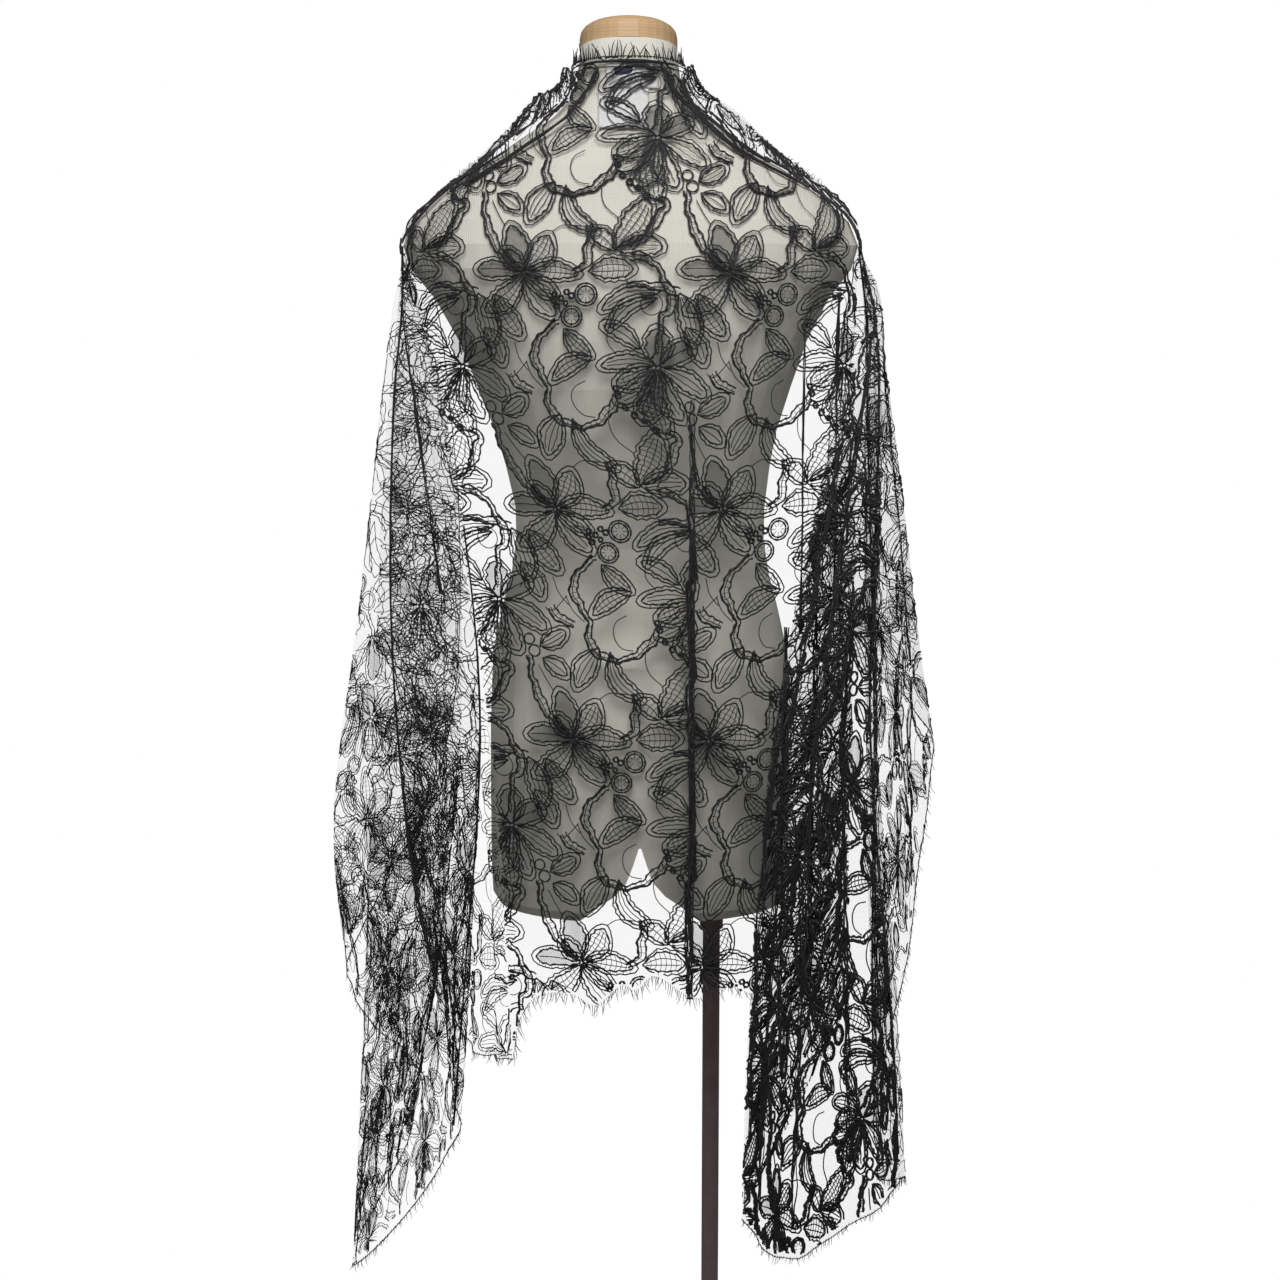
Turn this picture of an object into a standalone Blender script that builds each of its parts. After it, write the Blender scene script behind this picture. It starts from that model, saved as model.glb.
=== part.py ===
"""Black lace stole draped over the back of a limbless dress form on a round stand.

Metres, +Z up. The origin is the centre of the base's underside, on the pole's axis.
The form's back faces -Y. Tables and functions work in the form's own frame, whose X is
zero on the form's middle line; FORM_X moves them beside the pole when a mesh is made.
"""
import math
from collections import namedtuple

import bmesh
import bpy
from mathutils import Vector

# Stand sizes
FORM_X = -0.065
BASE_RADIUS = 0.200
BASE_THICKNESS = 0.012
BASE_BEVEL = 0.003
BASE_BEVEL_STEPS = 3
POLE_RADIUS = 0.0078
SOCKET_RADIUS = 0.0105
SOCKET_HEIGHT = 0.026
TOUCH_GAP = 0.0003

# Form sizes
FORM_BOTTOM = 0.686
SECTION_POWER = 2.3
FORM_SIDES = 48
STUB_CUT_REACH = 0.15
NECK_BASE = 1.378
NECK_TOP = 1.4346
NECK_TILT = 0.158
CAP_OVERHANG = 0.0005
CAP_HEIGHT = 0.0205
CAP_EDGE = 0.010
CAP_CROWN = 0.0015
CAP_SIDES = 32
CAP_EDGE_STEPS = 4
BASE_SIDES = 48
POLE_SIDES = 20
SOCKET_SIDES = 24
SHARP_EDGE = 40

# Cloth sizes
WALL = 0.0012
CLOTH_GAP = 0.0011
NORMAL_STEP = 0.002
HANGING_GAP = 0.0020
HANGING_GAP_REACH = 0.020
NAPE_GAP = 0.0055
NAPE_GAP_LOW = 1.335
NAPE_GAP_HIGH = 1.360
SEAM = 0.0010
PLEAT_INNER_SEAM = 0.0025
PLEAT_OUTER_SEAM = 0.0042
FLAT_SECTION_Z = 1.160
SHOULDER_TIP_Z = 1.270
TOP_EDGE_Z = 1.420
BACK_COLUMNS = FORM_SIDES // 2
PANEL_STEPS = (0.0, 0.12, 0.34, 0.66, 0.88)
SHOULDER_DEPTH_ROWS = 5
SHOULDER_SWELL = 0.006
LASH_LENGTH = 0.009
LASH_MEAN = 0.75
LASH_UNEVEN = ((0.25, 2.4), (0.15, 5.1))
LASH_SLANT = 0.25
LASH_SLANT_TURN = 1.7
LASH_STRIP = 0.003
LASH_WALL = 0.0009
LASH_INSET = 2
HEM_LASHES = 3
NAPE_LASHES = 2
TUCK_X = 0.043
TUCK_WIDTH = 0.005
TUCK_ROWS_OFF = 5

# Form sections, from the stub bottoms to the neck: half width, depth to the back and to the front
Ring = namedtuple("Ring", "z half_width back front")
RINGS = (
    Ring(0.686, 0.118, 0.078, 0.070),
    Ring(0.690, 0.128, 0.090, 0.081),
    Ring(0.699, 0.133, 0.098, 0.088),
    Ring(0.720, 0.134, 0.103, 0.092),
    Ring(0.760, 0.134, 0.107, 0.095),
    Ring(0.805, 0.134, 0.111, 0.097),
    Ring(0.850, 0.1335, 0.112, 0.098),
    Ring(0.915, 0.131, 0.104, 0.096),
    Ring(0.955, 0.122, 0.093, 0.091),
    Ring(0.985, 0.114, 0.084, 0.084),
    Ring(1.015, 0.1095, 0.079, 0.079),
    Ring(1.045, 0.110, 0.080, 0.080),
    Ring(1.080, 0.116, 0.088, 0.087),
    Ring(1.110, 0.123, 0.096, 0.098),
    Ring(1.150, 0.137, 0.106, 0.113),
    Ring(1.190, 0.152, 0.111, 0.117),
    Ring(1.225, 0.171, 0.112, 0.107),
    Ring(1.250, 0.191, 0.109, 0.097),
    Ring(1.270, 0.197, 0.105, 0.088),
    Ring(1.290, 0.189, 0.098, 0.080),
    Ring(1.310, 0.167, 0.090, 0.073),
    Ring(1.335, 0.132, 0.080, 0.066),
    Ring(1.360, 0.094, 0.067, 0.060),
    Ring(1.378, 0.066, 0.056, 0.056),
    Ring(1.392, 0.052, 0.049, 0.054),
    Ring(1.408, 0.0445, 0.045, 0.053),
    Ring(1.4346, 0.0415, 0.044, 0.051),
)

# The form's slight lean to the left, from the waist up
Lean = namedtuple("Lean", "z x")
LEAN = (
    Lean(1.050, 0.000),
    Lean(1.120, -0.004),
    Lean(1.270, -0.008),
    Lean(1.450, -0.010),
)

# Cut between the two stubs: half width of the gap at each height above the stub bottoms
Gap = namedtuple("Gap", "height half_width")
STUB_GAP = (
    Gap(-0.010, 0.060),
    Gap(0.001, 0.055),
    Gap(0.009, 0.047),
    Gap(0.0195, 0.036),
    Gap(0.030, 0.022),
    Gap(0.042, 0.012),
    Gap(0.058, 0.006),
    Gap(0.074, 0.001),
)

# Back panel below the shoulder tips: its two side edges and their depth, and its depth in the middle
Section = namedtuple("Section", "z left left_y middle_y right right_y")
HANGING_SECTIONS = (
    Section(1.240, -0.1990, -0.024, -0.1165, 0.186, -0.024),
    Section(1.200, -0.1860, -0.048, -0.1175, 0.183, -0.042),
    Section(1.140, -0.1740, -0.066, -0.1180, 0.183, -0.056),
    Section(1.050, -0.1570, -0.077, -0.1180, 0.184, -0.065),
    Section(0.950, -0.1410, -0.084, -0.1180, 0.184, -0.070),
    Section(0.850, -0.1290, -0.088, -0.1190, 0.184, -0.073),
    Section(0.740, -0.1210, -0.089, -0.1200, 0.182, -0.075),
    Section(0.560, -0.1110, -0.090, -0.1200, 0.180, -0.076),
)

# Back hem: its height at each share of the way from the middle to a side edge, with its scallops
HemPoint = namedtuple("HemPoint", "across z")
BACK_HEM = (
    HemPoint(-1.00, 0.566),
    HemPoint(-0.95, 0.600),
    HemPoint(-0.83, 0.625),
    HemPoint(-0.62, 0.630),
    HemPoint(-0.49, 0.621),
    HemPoint(-0.32, 0.642),
    HemPoint(-0.25, 0.637),
    HemPoint(-0.14, 0.650),
    HemPoint(0.09, 0.631),
    HemPoint(0.29, 0.640),
    HemPoint(0.40, 0.633),
    HemPoint(0.55, 0.624),
    HemPoint(1.00, 0.605),
)

# Rows of every hanging piece, as shares of the way from the shoulder tip to the hem
ROW_SHARES = (
    0.0, 0.025, 0.055, 0.09, 0.13, 0.175, 0.225, 0.28, 0.34, 0.40,
    0.46, 0.52, 0.58, 0.64, 0.70, 0.76, 0.82, 0.88, 0.94, 1.0,
)

# Folds of an end, from the back panel outwards: place at four shares of the length, and at the hem
Fold = namedtuple("Fold", "top_y x08 y08 x20 y20 x50 x80 x_hem hang_y hem_z")
FOLD_SHARES = (0.0, 0.08, 0.20, 0.50, 0.80, 1.0)
LEFT_FOLDS = (
    Fold(0.004, -0.203, -0.022, -0.190, -0.056, -0.165, -0.147, -0.148, -0.078, 0.572),
    Fold(0.009, -0.207, -0.012, -0.211, -0.045, -0.213, -0.199, -0.176, -0.065, 0.616),
    Fold(0.018, -0.190, -0.004, -0.168, -0.022, -0.144, -0.158, -0.171, -0.035, 0.466),
    Fold(0.028, -0.214, 0.008, -0.224, 0.000, -0.240, -0.256, -0.269, -0.005, 0.337),
    Fold(0.038, -0.190, 0.020, -0.172, 0.020, -0.160, -0.180, -0.205, 0.020, 0.500),
    Fold(0.048, -0.220, 0.034, -0.234, 0.040, -0.258, -0.283, -0.273, 0.045, 0.600),
    Fold(0.060, -0.185, 0.052, -0.176, 0.060, -0.166, -0.172, -0.195, 0.070, 0.760),
)
RIGHT_FOLDS = (
    Fold(0.003, 0.192, -0.034, 0.158, -0.096, 0.110, 0.092, 0.088, -0.134, 0.437),
    Fold(0.009, 0.199, -0.028, 0.181, -0.092, 0.146, 0.136, 0.131, -0.133, 0.401),
    Fold(0.016, 0.204, -0.010, 0.203, -0.064, 0.197, 0.219, 0.2295, -0.098, 0.455),
    Fold(0.030, 0.198, 0.016, 0.197, -0.005, 0.204, 0.207, 0.213, -0.030, 0.470),
    Fold(0.045, 0.212, 0.034, 0.218, 0.030, 0.234, 0.250, 0.264, 0.020, 0.810),
    Fold(0.060, 0.190, 0.052, 0.182, 0.058, 0.172, 0.176, 0.196, 0.060, 0.900),
)
PLEAT_TOP_ROW = 6
PLEAT_COLUMNS = 5

# Standing edge of the stole in front of each shoulder, from the neck to the tip
Stand = namedtuple("Stand", "ridge_z edge_x edge_y edge_z")
LEFT_STAND = (
    Stand(1.420, -0.062, 0.030, 1.420),
    Stand(1.400, -0.073, 0.036, 1.412),
    Stand(1.378, -0.088, 0.038, 1.402),
    Stand(1.350, -0.122, 0.044, 1.358),
    Stand(1.320, -0.160, 0.050, 1.327),
    Stand(1.292, -0.186, 0.056, 1.301),
    Stand(1.270, -0.205, 0.060, 1.272),
)
RIGHT_STAND = (
    Stand(1.420, 0.040, 0.030, 1.418),
    Stand(1.400, 0.052, 0.036, 1.402),
    Stand(1.378, 0.080, 0.038, 1.386),
    Stand(1.350, 0.112, 0.044, 1.356),
    Stand(1.320, 0.144, 0.050, 1.334),
    Stand(1.292, 0.174, 0.056, 1.304),
    Stand(1.270, 0.190, 0.060, 1.272),
)

# Tapes sewn at the nape, between the neck and the lace: sides, heights and distance off the neck
Tape = namedtuple("Tape", "name left right low high off")
TAPES = (
    Tape("label_tape", -0.0290, 0.0150, 1.3960, 1.4180, 0.0032),
    Tape("label_care_tag", -0.0360, 0.0070, 1.3640, 1.3954, 0.0032),
    Tape("label_size_tab", -0.0220, -0.0040, 1.4060, 1.4120, 0.0041),
)
TAPE_WALL = 0.0006
TAPE_ROWS = 4
TAPE_COLUMNS = 8
TAPE_REACH = 0.95

# Colours, roughness and metallic value of each material
Finish = namedtuple("Finish", "colour roughness metallic")
BLACK_LACE = Finish((0.012, 0.012, 0.015), 0.75, 0.0)
CREAM_JERSEY = Finish((0.70, 0.67, 0.60), 0.85, 0.0)
LIGHT_WOOD = Finish((0.62, 0.42, 0.24), 0.45, 0.0)
DARK_PAINT = Finish((0.055, 0.035, 0.037), 0.45, 0.2)
WHITE_TAPE = Finish((0.80, 0.80, 0.80), 0.70, 0.0)
NAVY_TAPE = Finish((0.02, 0.025, 0.06), 0.60, 0.0)


def clear_scene():
    for old in list(bpy.data.objects):
        bpy.data.objects.remove(old, do_unlink=True)


def make_material(name, finish):
    """Principled material with one plain finish."""
    material = bpy.data.materials.new(name)
    material.use_nodes = True
    shader = material.node_tree.nodes["Principled BSDF"]
    shader.inputs["Base Color"].default_value = (*finish.colour, 1.0)
    shader.inputs["Roughness"].default_value = finish.roughness
    shader.inputs["Metallic"].default_value = finish.metallic
    material.diffuse_color = (*finish.colour, 1.0)
    return material


def add_object(name, mesh_data, finish, smooth=True):
    """Object of one sub-part, with its own material, from a bmesh."""
    mesh = bpy.data.meshes.new(name)
    bmesh.ops.recalc_face_normals(mesh_data, faces=mesh_data.faces)
    mesh_data.to_mesh(mesh)
    mesh_data.free()
    if smooth:
        mesh.shade_smooth()
        mesh.set_sharp_from_angle(angle=math.radians(SHARP_EDGE))
    mesh.materials.append(make_material(name, finish))
    item = bpy.data.objects.new(name, mesh)
    bpy.context.scene.collection.objects.link(item)
    return item


def smooth_at(places, values, place):
    """Value at a place on a smooth curve through a table's values; the ends are held."""
    if places[0] > places[-1]:
        places, values = places[::-1], values[::-1]
    if place <= places[0]:
        return values[0]
    if place >= places[-1]:
        return values[-1]
    last = len(places) - 1
    i = max(k for k in range(last) if places[k] <= place)
    span = places[i + 1] - places[i]

    def slope(k):
        low, high = max(k - 1, 0), min(k + 1, last)
        return (values[high] - values[low]) / (places[high] - places[low])

    t = (place - places[i]) / span
    return (
        (2 * t**3 - 3 * t**2 + 1) * values[i]
        + (t**3 - 2 * t**2 + t) * span * slope(i)
        + (-2 * t**3 + 3 * t**2) * values[i + 1]
        + (t**3 - t**2) * span * slope(i + 1)
    )


def column(table, name):
    return [getattr(row, name) for row in table]


def form_size(z, name):
    """Half width, back or front depth of the form at a height."""
    return smooth_at(column(RINGS, "z"), column(RINGS, name), z)


def rounded_cos(angle):
    value = math.cos(angle)
    return math.copysign(abs(value) ** (2 / SECTION_POWER), value)


def rounded_sin(angle):
    value = math.sin(angle)
    return math.copysign(abs(value) ** (2 / SECTION_POWER), value)


def leaned(point):
    """The point with the form's lean, and with the neck tilted forward, its back edge up."""
    share = max(0.0, (point.z - NECK_BASE) / (NECK_TOP - NECK_BASE))
    aside = smooth_at(column(LEAN, "z"), column(LEAN, "x"), point.z)
    return Vector((point.x + aside, point.y, point.z - point.y * NECK_TILT * min(share, 1.0)))


def cloth_gap(z):
    """Distance of the cloth's middle off the form: close at the shoulders, free of the neck."""
    share = max(0.0, min(1.0, (z - NAPE_GAP_LOW) / (NAPE_GAP_HIGH - NAPE_GAP_LOW)))
    return CLOTH_GAP + (NAPE_GAP - CLOTH_GAP) * share * share * (3 - 2 * share)


def form_point(angle, z):
    """Point on the form's section; angle 0 is the left ridge and 90 degrees the back."""
    depth = form_size(z, "back" if math.sin(angle) > 0 else "front")
    return leaned(Vector((-form_size(z, "half_width") * rounded_cos(angle), -depth * rounded_sin(angle), z)))


def off_point(angle, z, off):
    """Point at a distance off the form, along the form's own normal there."""
    around = form_point(angle + NORMAL_STEP, z) - form_point(angle - NORMAL_STEP, z)
    up = form_point(angle, z + NORMAL_STEP) - form_point(angle, z - NORMAL_STEP)
    return form_point(angle, z) + around.cross(up).normalized() * off


def loft(rings):
    """Closed solid through rings of equal point counts, with flat ends."""
    solid = bmesh.new()
    loops = [[solid.verts.new(p + Vector((FORM_X, 0, 0))) for p in ring] for ring in rings]
    count = len(loops[0])
    for low, high in zip(loops, loops[1:]):
        for k in range(count):
            n = (k + 1) % count
            solid.faces.new((low[k], low[n], high[n], high[k]))
    solid.faces.new(loops[0][::-1])
    solid.faces.new(loops[-1])
    return solid


def make_form():
    """Torso with its neck and the two short stubs, parted by a cut from below."""
    angles = [2 * math.pi * k / FORM_SIDES for k in range(FORM_SIDES)]
    rings = [[form_point(a, row.z) for a in angles] for row in RINGS]
    form = add_object("dress_form", loft(rings), CREAM_JERSEY)

    profile = [(row.half_width, row.height) for row in STUB_GAP]
    outline = profile + [(-x, h) for x, h in reversed(profile)]
    sides = [[Vector((x, y, FORM_BOTTOM + h)) for x, h in outline] for y in (-STUB_CUT_REACH, STUB_CUT_REACH)]
    cutter = add_object("stub_cutter", loft(sides), CREAM_JERSEY, smooth=False)
    cutter.hide_render = True
    cutter.display_type = "WIRE"
    cut = form.modifiers.new("stub_gap", "BOOLEAN")
    cut.operation = "DIFFERENCE"
    cut.object = cutter


def make_cap():
    """Turned wood cap on the neck, with a rounded edge, tilted as the neck is."""
    cap_radius = form_size(NECK_TOP, "half_width") + CAP_OVERHANG
    profile = [(cap_radius, TOUCH_GAP), (cap_radius, CAP_HEIGHT - CAP_EDGE)]
    for step in range(1, CAP_EDGE_STEPS):
        turn = math.pi / 2 * step / CAP_EDGE_STEPS
        radius = cap_radius - CAP_EDGE * (1 - math.cos(turn))
        profile.append((radius, CAP_HEIGHT - CAP_EDGE * (1 - math.sin(turn))))
    profile.append((cap_radius - CAP_EDGE, CAP_HEIGHT))
    profile.append((cap_radius / 3, CAP_HEIGHT + CAP_CROWN))
    middle_y = (form_size(NECK_TOP, "front") - form_size(NECK_TOP, "back")) / 2
    deep = (form_size(NECK_TOP, "front") + form_size(NECK_TOP, "back")) / 2
    stretch = deep / form_size(NECK_TOP, "half_width")
    rings = []
    for radius, height in profile:
        ring = []
        for k in range(CAP_SIDES):
            turn = 2 * math.pi * k / CAP_SIDES
            flat = Vector((-radius * math.cos(turn), middle_y - radius * stretch * math.sin(turn), NECK_TOP))
            ring.append(leaned(flat) + Vector((0, height * NECK_TILT, height)))
        rings.append(ring)
    add_object("neck_cap", loft(rings), LIGHT_WOOD)


def add_cylinder(name, radius, low, high, sides, bevel=0.0):
    """Upright round painted piece on the pole's axis."""
    solid = bmesh.new()
    bmesh.ops.create_cone(
        solid, cap_ends=True, segments=sides, radius1=radius, radius2=radius, depth=high - low
    )
    bmesh.ops.translate(solid, verts=solid.verts, vec=(0, 0, (low + high) / 2))
    item = add_object(name, solid, DARK_PAINT)
    if bevel:
        edge = item.modifiers.new("rim", "BEVEL")
        edge.width = bevel
        edge.segments = BASE_BEVEL_STEPS
        edge.limit_method = "ANGLE"


def make_stand():
    """Round base, pole and the socket where the pole enters the right stub."""
    socket_low = FORM_BOTTOM - TOUCH_GAP - SOCKET_HEIGHT
    pole_low, pole_high = BASE_THICKNESS + TOUCH_GAP, socket_low - TOUCH_GAP
    add_cylinder("stand_base", BASE_RADIUS, 0.0, BASE_THICKNESS, BASE_SIDES, BASE_BEVEL)
    add_cylinder("stand_pole", POLE_RADIUS, pole_low, pole_high, POLE_SIDES)
    add_cylinder("pole_socket", SOCKET_RADIUS, socket_low, FORM_BOTTOM - TOUCH_GAP, SOCKET_SIDES)


def hanging_size(z, name):
    """A size of the back panel at a height; the first row is the form's own section at the tips."""
    left = off_point(0.0, SHOULDER_TIP_Z, CLOTH_GAP)
    middle = off_point(math.pi / 2, SHOULDER_TIP_Z, CLOTH_GAP)
    right = off_point(math.pi, SHOULDER_TIP_Z, CLOTH_GAP)
    rows = (Section(SHOULDER_TIP_Z, left.x, left.y, middle.y, right.x, right.y),) + HANGING_SECTIONS
    return smooth_at(column(rows, "z"), column(rows, name), z)


def section_point(across, angle, z):
    """Point of the hanging back panel, off the form; across runs from -1 at the left edge to 1."""
    left, right = hanging_size(z, "left"), hanging_size(z, "right")
    side, middle = hanging_size(z, "left_y" if across < 0 else "right_y"), hanging_size(z, "middle_y")
    x = (left + right) / 2 + (right - left) / 2 * across
    flat = max(0.0, min(1.0, (SHOULDER_TIP_Z - z) / (SHOULDER_TIP_Z - FLAT_SECTION_Z)))
    swell = rounded_sin(angle) * (1 - flat) + math.cos(math.pi / 2 * across) * flat
    return off_form(Vector((x, side + (middle - side) * swell, z)))


def back_point(angle, share):
    """Point of the back panel; share runs from the shoulder tips at 0 to the hem at 1."""
    across = -rounded_cos(angle)
    hem_z = smooth_at(column(BACK_HEM, "across"), column(BACK_HEM, "z"), across)
    return section_point(across, angle, SHOULDER_TIP_Z + (hem_z - SHOULDER_TIP_Z) * share)


def off_form(point):
    """The point, moved back where it would lie closer to the form's back than the cloth's gap."""
    gap = CLOTH_GAP + HANGING_GAP * min(1.0, (SHOULDER_TIP_Z - point.z) / HANGING_GAP_REACH)
    aside = smooth_at(column(LEAN, "z"), column(LEAN, "x"), point.z)
    across = abs(point.x - aside) / (form_size(point.z, "half_width") + gap)
    if across >= 1:
        return point
    depth = (form_size(point.z, "back") + gap) * (1 - across**SECTION_POWER) ** (1 / SECTION_POWER)
    return Vector((point.x, min(point.y, -depth), point.z))


def back_angles(count):
    return [math.pi * k / count for k in range(count + 1)]


def shoulder_levels():
    """Heights of the back panel's rows from its top edge down to the shoulder tips."""
    levels = [TOP_EDGE_Z] + [row.z for row in reversed(RINGS) if SHOULDER_TIP_Z < row.z < TOP_EDGE_Z]
    return levels + [SHOULDER_TIP_Z]


def grid_normals(grid):
    """Normal at each point of a grid of points, from its neighbours."""
    rows, columns = len(grid), len(grid[0])
    normals = []
    for j in range(rows):
        line = []
        for i in range(columns):
            along = grid[j][min(i + 1, columns - 1)] - grid[j][max(i - 1, 0)]
            down = grid[min(j + 1, rows - 1)][i] - grid[max(j - 1, 0)][i]
            line.append(along.cross(down).normalized())
        normals.append(line)
    return normals


def wall(grid, thickness=WALL, lift=0.0):
    """Closed thin wall whose middle runs through a grid of points, lifted along its normals."""
    normals = grid_normals(grid)
    rows, columns = len(grid), len(grid[0])
    solid = bmesh.new()
    layers = []
    for shift in (lift - thickness / 2, lift + thickness / 2):
        layer = []
        for line, line_normals in zip(grid, normals):
            places = [p + n * shift + Vector((FORM_X, 0, 0)) for p, n in zip(line, line_normals)]
            layer.append([solid.verts.new(place) for place in places])
        layers.append(layer)
    under, over = layers
    for j in range(rows - 1):
        for i in range(columns - 1):
            solid.faces.new((over[j][i], over[j + 1][i], over[j + 1][i + 1], over[j][i + 1]))
            solid.faces.new((under[j][i], under[j][i + 1], under[j + 1][i + 1], under[j + 1][i]))
    rim = [(j, 0) for j in range(rows)]
    rim += [(rows - 1, i) for i in range(1, columns)]
    rim += [(j, columns - 1) for j in range(rows - 2, -1, -1)]
    rim += [(0, i) for i in range(columns - 2, 0, -1)]
    for (j, i), (n, m) in zip(rim, rim[1:] + rim[:1]):
        solid.faces.new((over[j][i], under[j][i], under[n][m], over[n][m]))
    return solid


def make_back():
    """Back panel from the standing edge at the nape, over the shoulder blades, to the scalloped hem."""
    angles = back_angles(BACK_COLUMNS)
    grid = [[off_point(a, z, cloth_gap(z)) for a in angles] for z in shoulder_levels()]
    hanging = [[back_point(a, share) for a in angles] for share in ROW_SHARES[1:]]
    add_object("stole_back", wall(grid + hanging), BLACK_LACE)
    make_tuck(hanging[TUCK_ROWS_OFF:])


def along_row(row, x):
    """Point at an X on a row of the back panel's own points."""
    i = max(k for k in range(len(row) - 1) if row[k].x <= x)
    return row[i].lerp(row[i + 1], (x - row[i].x) / (row[i + 1].x - row[i].x))


def make_tuck(rows):
    """Narrow pressed tuck down the back panel, right of the middle, from the panel's points moved out."""
    grid = [[along_row(row, TUCK_X + side * TUCK_WIDTH / 2) for side in (-1, 0, 1)] for row in rows]
    add_object("stole_back_tuck", wall(grid, lift=-(WALL + TOUCH_GAP)), BLACK_LACE)


def stand_grid(table, side):
    """Grid from the shoulder ridge forward to the standing edge; side is -1 left, 1 right."""
    grid = []
    ridge_angle = 0.0 if side < 0 else math.pi
    places = column(table, "ridge_z")
    for z in shoulder_levels():
        ridge = off_point(ridge_angle, z, cloth_gap(z))
        edge = Vector([smooth_at(places, column(table, name), z) for name in ("edge_x", "edge_y", "edge_z")])
        line = []
        for n in range(SHOULDER_DEPTH_ROWS + 1):
            share = n / SHOULDER_DEPTH_ROWS
            height = (z - SHOULDER_TIP_Z) / (TOP_EDGE_Z - SHOULDER_TIP_Z)
            swell = SHOULDER_SWELL * math.sin(math.pi * share) * height
            line.append(ridge.lerp(edge, share) + Vector((side * swell, 0, swell)))
        grid.append(line)
    return grid


def make_shoulder(name, table, side):
    """Stretch of the stole between the shoulder ridge and its standing edge."""
    grid = stand_grid(table, side)
    for line in grid:
        line[0] = line[0] + (line[1] - line[0]).normalized() * SEAM
    add_object(name, wall(grid), BLACK_LACE)


def fold_line(fold, side, tip):
    """Points down one fold of an end, one for each row share."""
    top = Vector((tip.x + side * SEAM, fold.top_y, SHOULDER_TIP_Z))
    xs = [top.x, fold.x08, fold.x20, fold.x50, fold.x80, fold.x_hem]
    ys = [top.y, fold.y08, fold.y20, fold.hang_y, fold.hang_y, fold.hang_y]
    points = []
    for share in ROW_SHARES:
        z = SHOULDER_TIP_Z - SEAM * 2 + (fold.hem_z - SHOULDER_TIP_Z) * share
        points.append(Vector((smooth_at(FOLD_SHARES, xs, share), smooth_at(FOLD_SHARES, ys, share), z)))
    return points


def curve_through(points, steps):
    """Points of a smooth curve through the given ones, at some shares of each step."""
    ends = [points[0] * 2 - points[1]] + points + [points[-1] * 2 - points[-2]]
    result = []
    for before, start, end, after in zip(ends, ends[1:], ends[2:], ends[3:]):
        for t in steps:
            result.append(0.5 * (
                2 * start
                + (end - before) * t
                + (2 * before - 5 * start + 4 * end - after) * t**2
                + (3 * start - before - 3 * end + after) * t**3
            ))
    return result + [points[-1]]


def move_towards(line, other, distance):
    """The line's points, each moved towards the other line's point."""
    return [point + (target - point).normalized() * distance for point, target in zip(line, other)]


def make_end(name, lines):
    """Hanging end of the stole: a pleated wall through its fold lines, from the shoulder tip down."""
    grid = [curve_through([line[j] for line in lines], PANEL_STEPS) for j in range(len(ROW_SHARES))]
    add_object(name, wall(grid), BLACK_LACE)


def make_left_end():
    """Left end, which goes on from the back panel's left edge."""
    seam = [back_point(0.0, share) for share in ROW_SHARES]
    folds = [fold_line(fold, -1, seam[0]) for fold in LEFT_FOLDS]
    make_end("stole_left_end", [move_towards(seam, folds[0], SEAM)] + folds)


def make_right_end():
    """Right end, folded back over the back panel, with the pleat that joins the two."""
    seam = [back_point(math.pi, share) for share in ROW_SHARES]
    folds = [fold_line(fold, 1, seam[0]) for fold in RIGHT_FOLDS]
    make_end("stole_right_end", folds)
    inner = [point + Vector((PLEAT_INNER_SEAM, 0, 0)) for point in seam[PLEAT_TOP_ROW:]]
    outer = move_towards(folds[0], seam, PLEAT_OUTER_SEAM)[PLEAT_TOP_ROW:]
    grid = [[a.lerp(b, i / PLEAT_COLUMNS) for i in range(PLEAT_COLUMNS + 1)] for a, b in zip(inner, outer)]
    add_object("stole_right_pleat", wall(grid), BLACK_LACE)


def lash_strip(name, edge, outward):
    """Narrow strip beside a raw edge, with a loose thread end of its own on each step."""
    solid = bmesh.new()
    stations = []
    last = len(edge) - 1
    for k, point in enumerate(edge):
        along = (edge[min(k + 1, last)] - edge[max(k - 1, 0)]).normalized()
        across = along.cross(outward).normalized() * (LASH_WALL / 2)
        near = point + outward * (TOUCH_GAP + WALL / 2)
        far = near + outward * LASH_STRIP
        corners = (near + across, near - across, far - across, far + across)
        stations.append([solid.verts.new(p + Vector((FORM_X, 0, 0))) for p in corners])
    for k in range(last):
        a, b = stations[k], stations[k + 1]
        for n in (0, 1, 3):
            m = (n + 1) % 4
            solid.faces.new((a[n], a[m], b[m], b[n]))
        reach = LASH_LENGTH * (LASH_MEAN + sum(part * math.sin(k * turn) for part, turn in LASH_UNEVEN))
        slant = (edge[k + 1] - edge[k]) * LASH_SLANT * math.sin(k * LASH_SLANT_TURN)
        middle = (a[2].co + a[3].co + b[2].co + b[3].co) / 4
        tip = solid.verts.new(middle + outward * reach + slant)
        for p, q in ((a[2], a[3]), (a[3], b[3]), (b[3], b[2]), (b[2], a[2])):
            solid.faces.new((p, q, tip))
    solid.faces.new(stations[0])
    solid.faces.new(stations[-1][::-1])
    add_object(name, solid, BLACK_LACE, smooth=False)


def divide(points, pieces):
    """The same line with each of its steps divided."""
    result = []
    for start, end in zip(points, points[1:]):
        result += [start.lerp(end, k / pieces) for k in range(pieces)]
    return result + [points[-1]]


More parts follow.
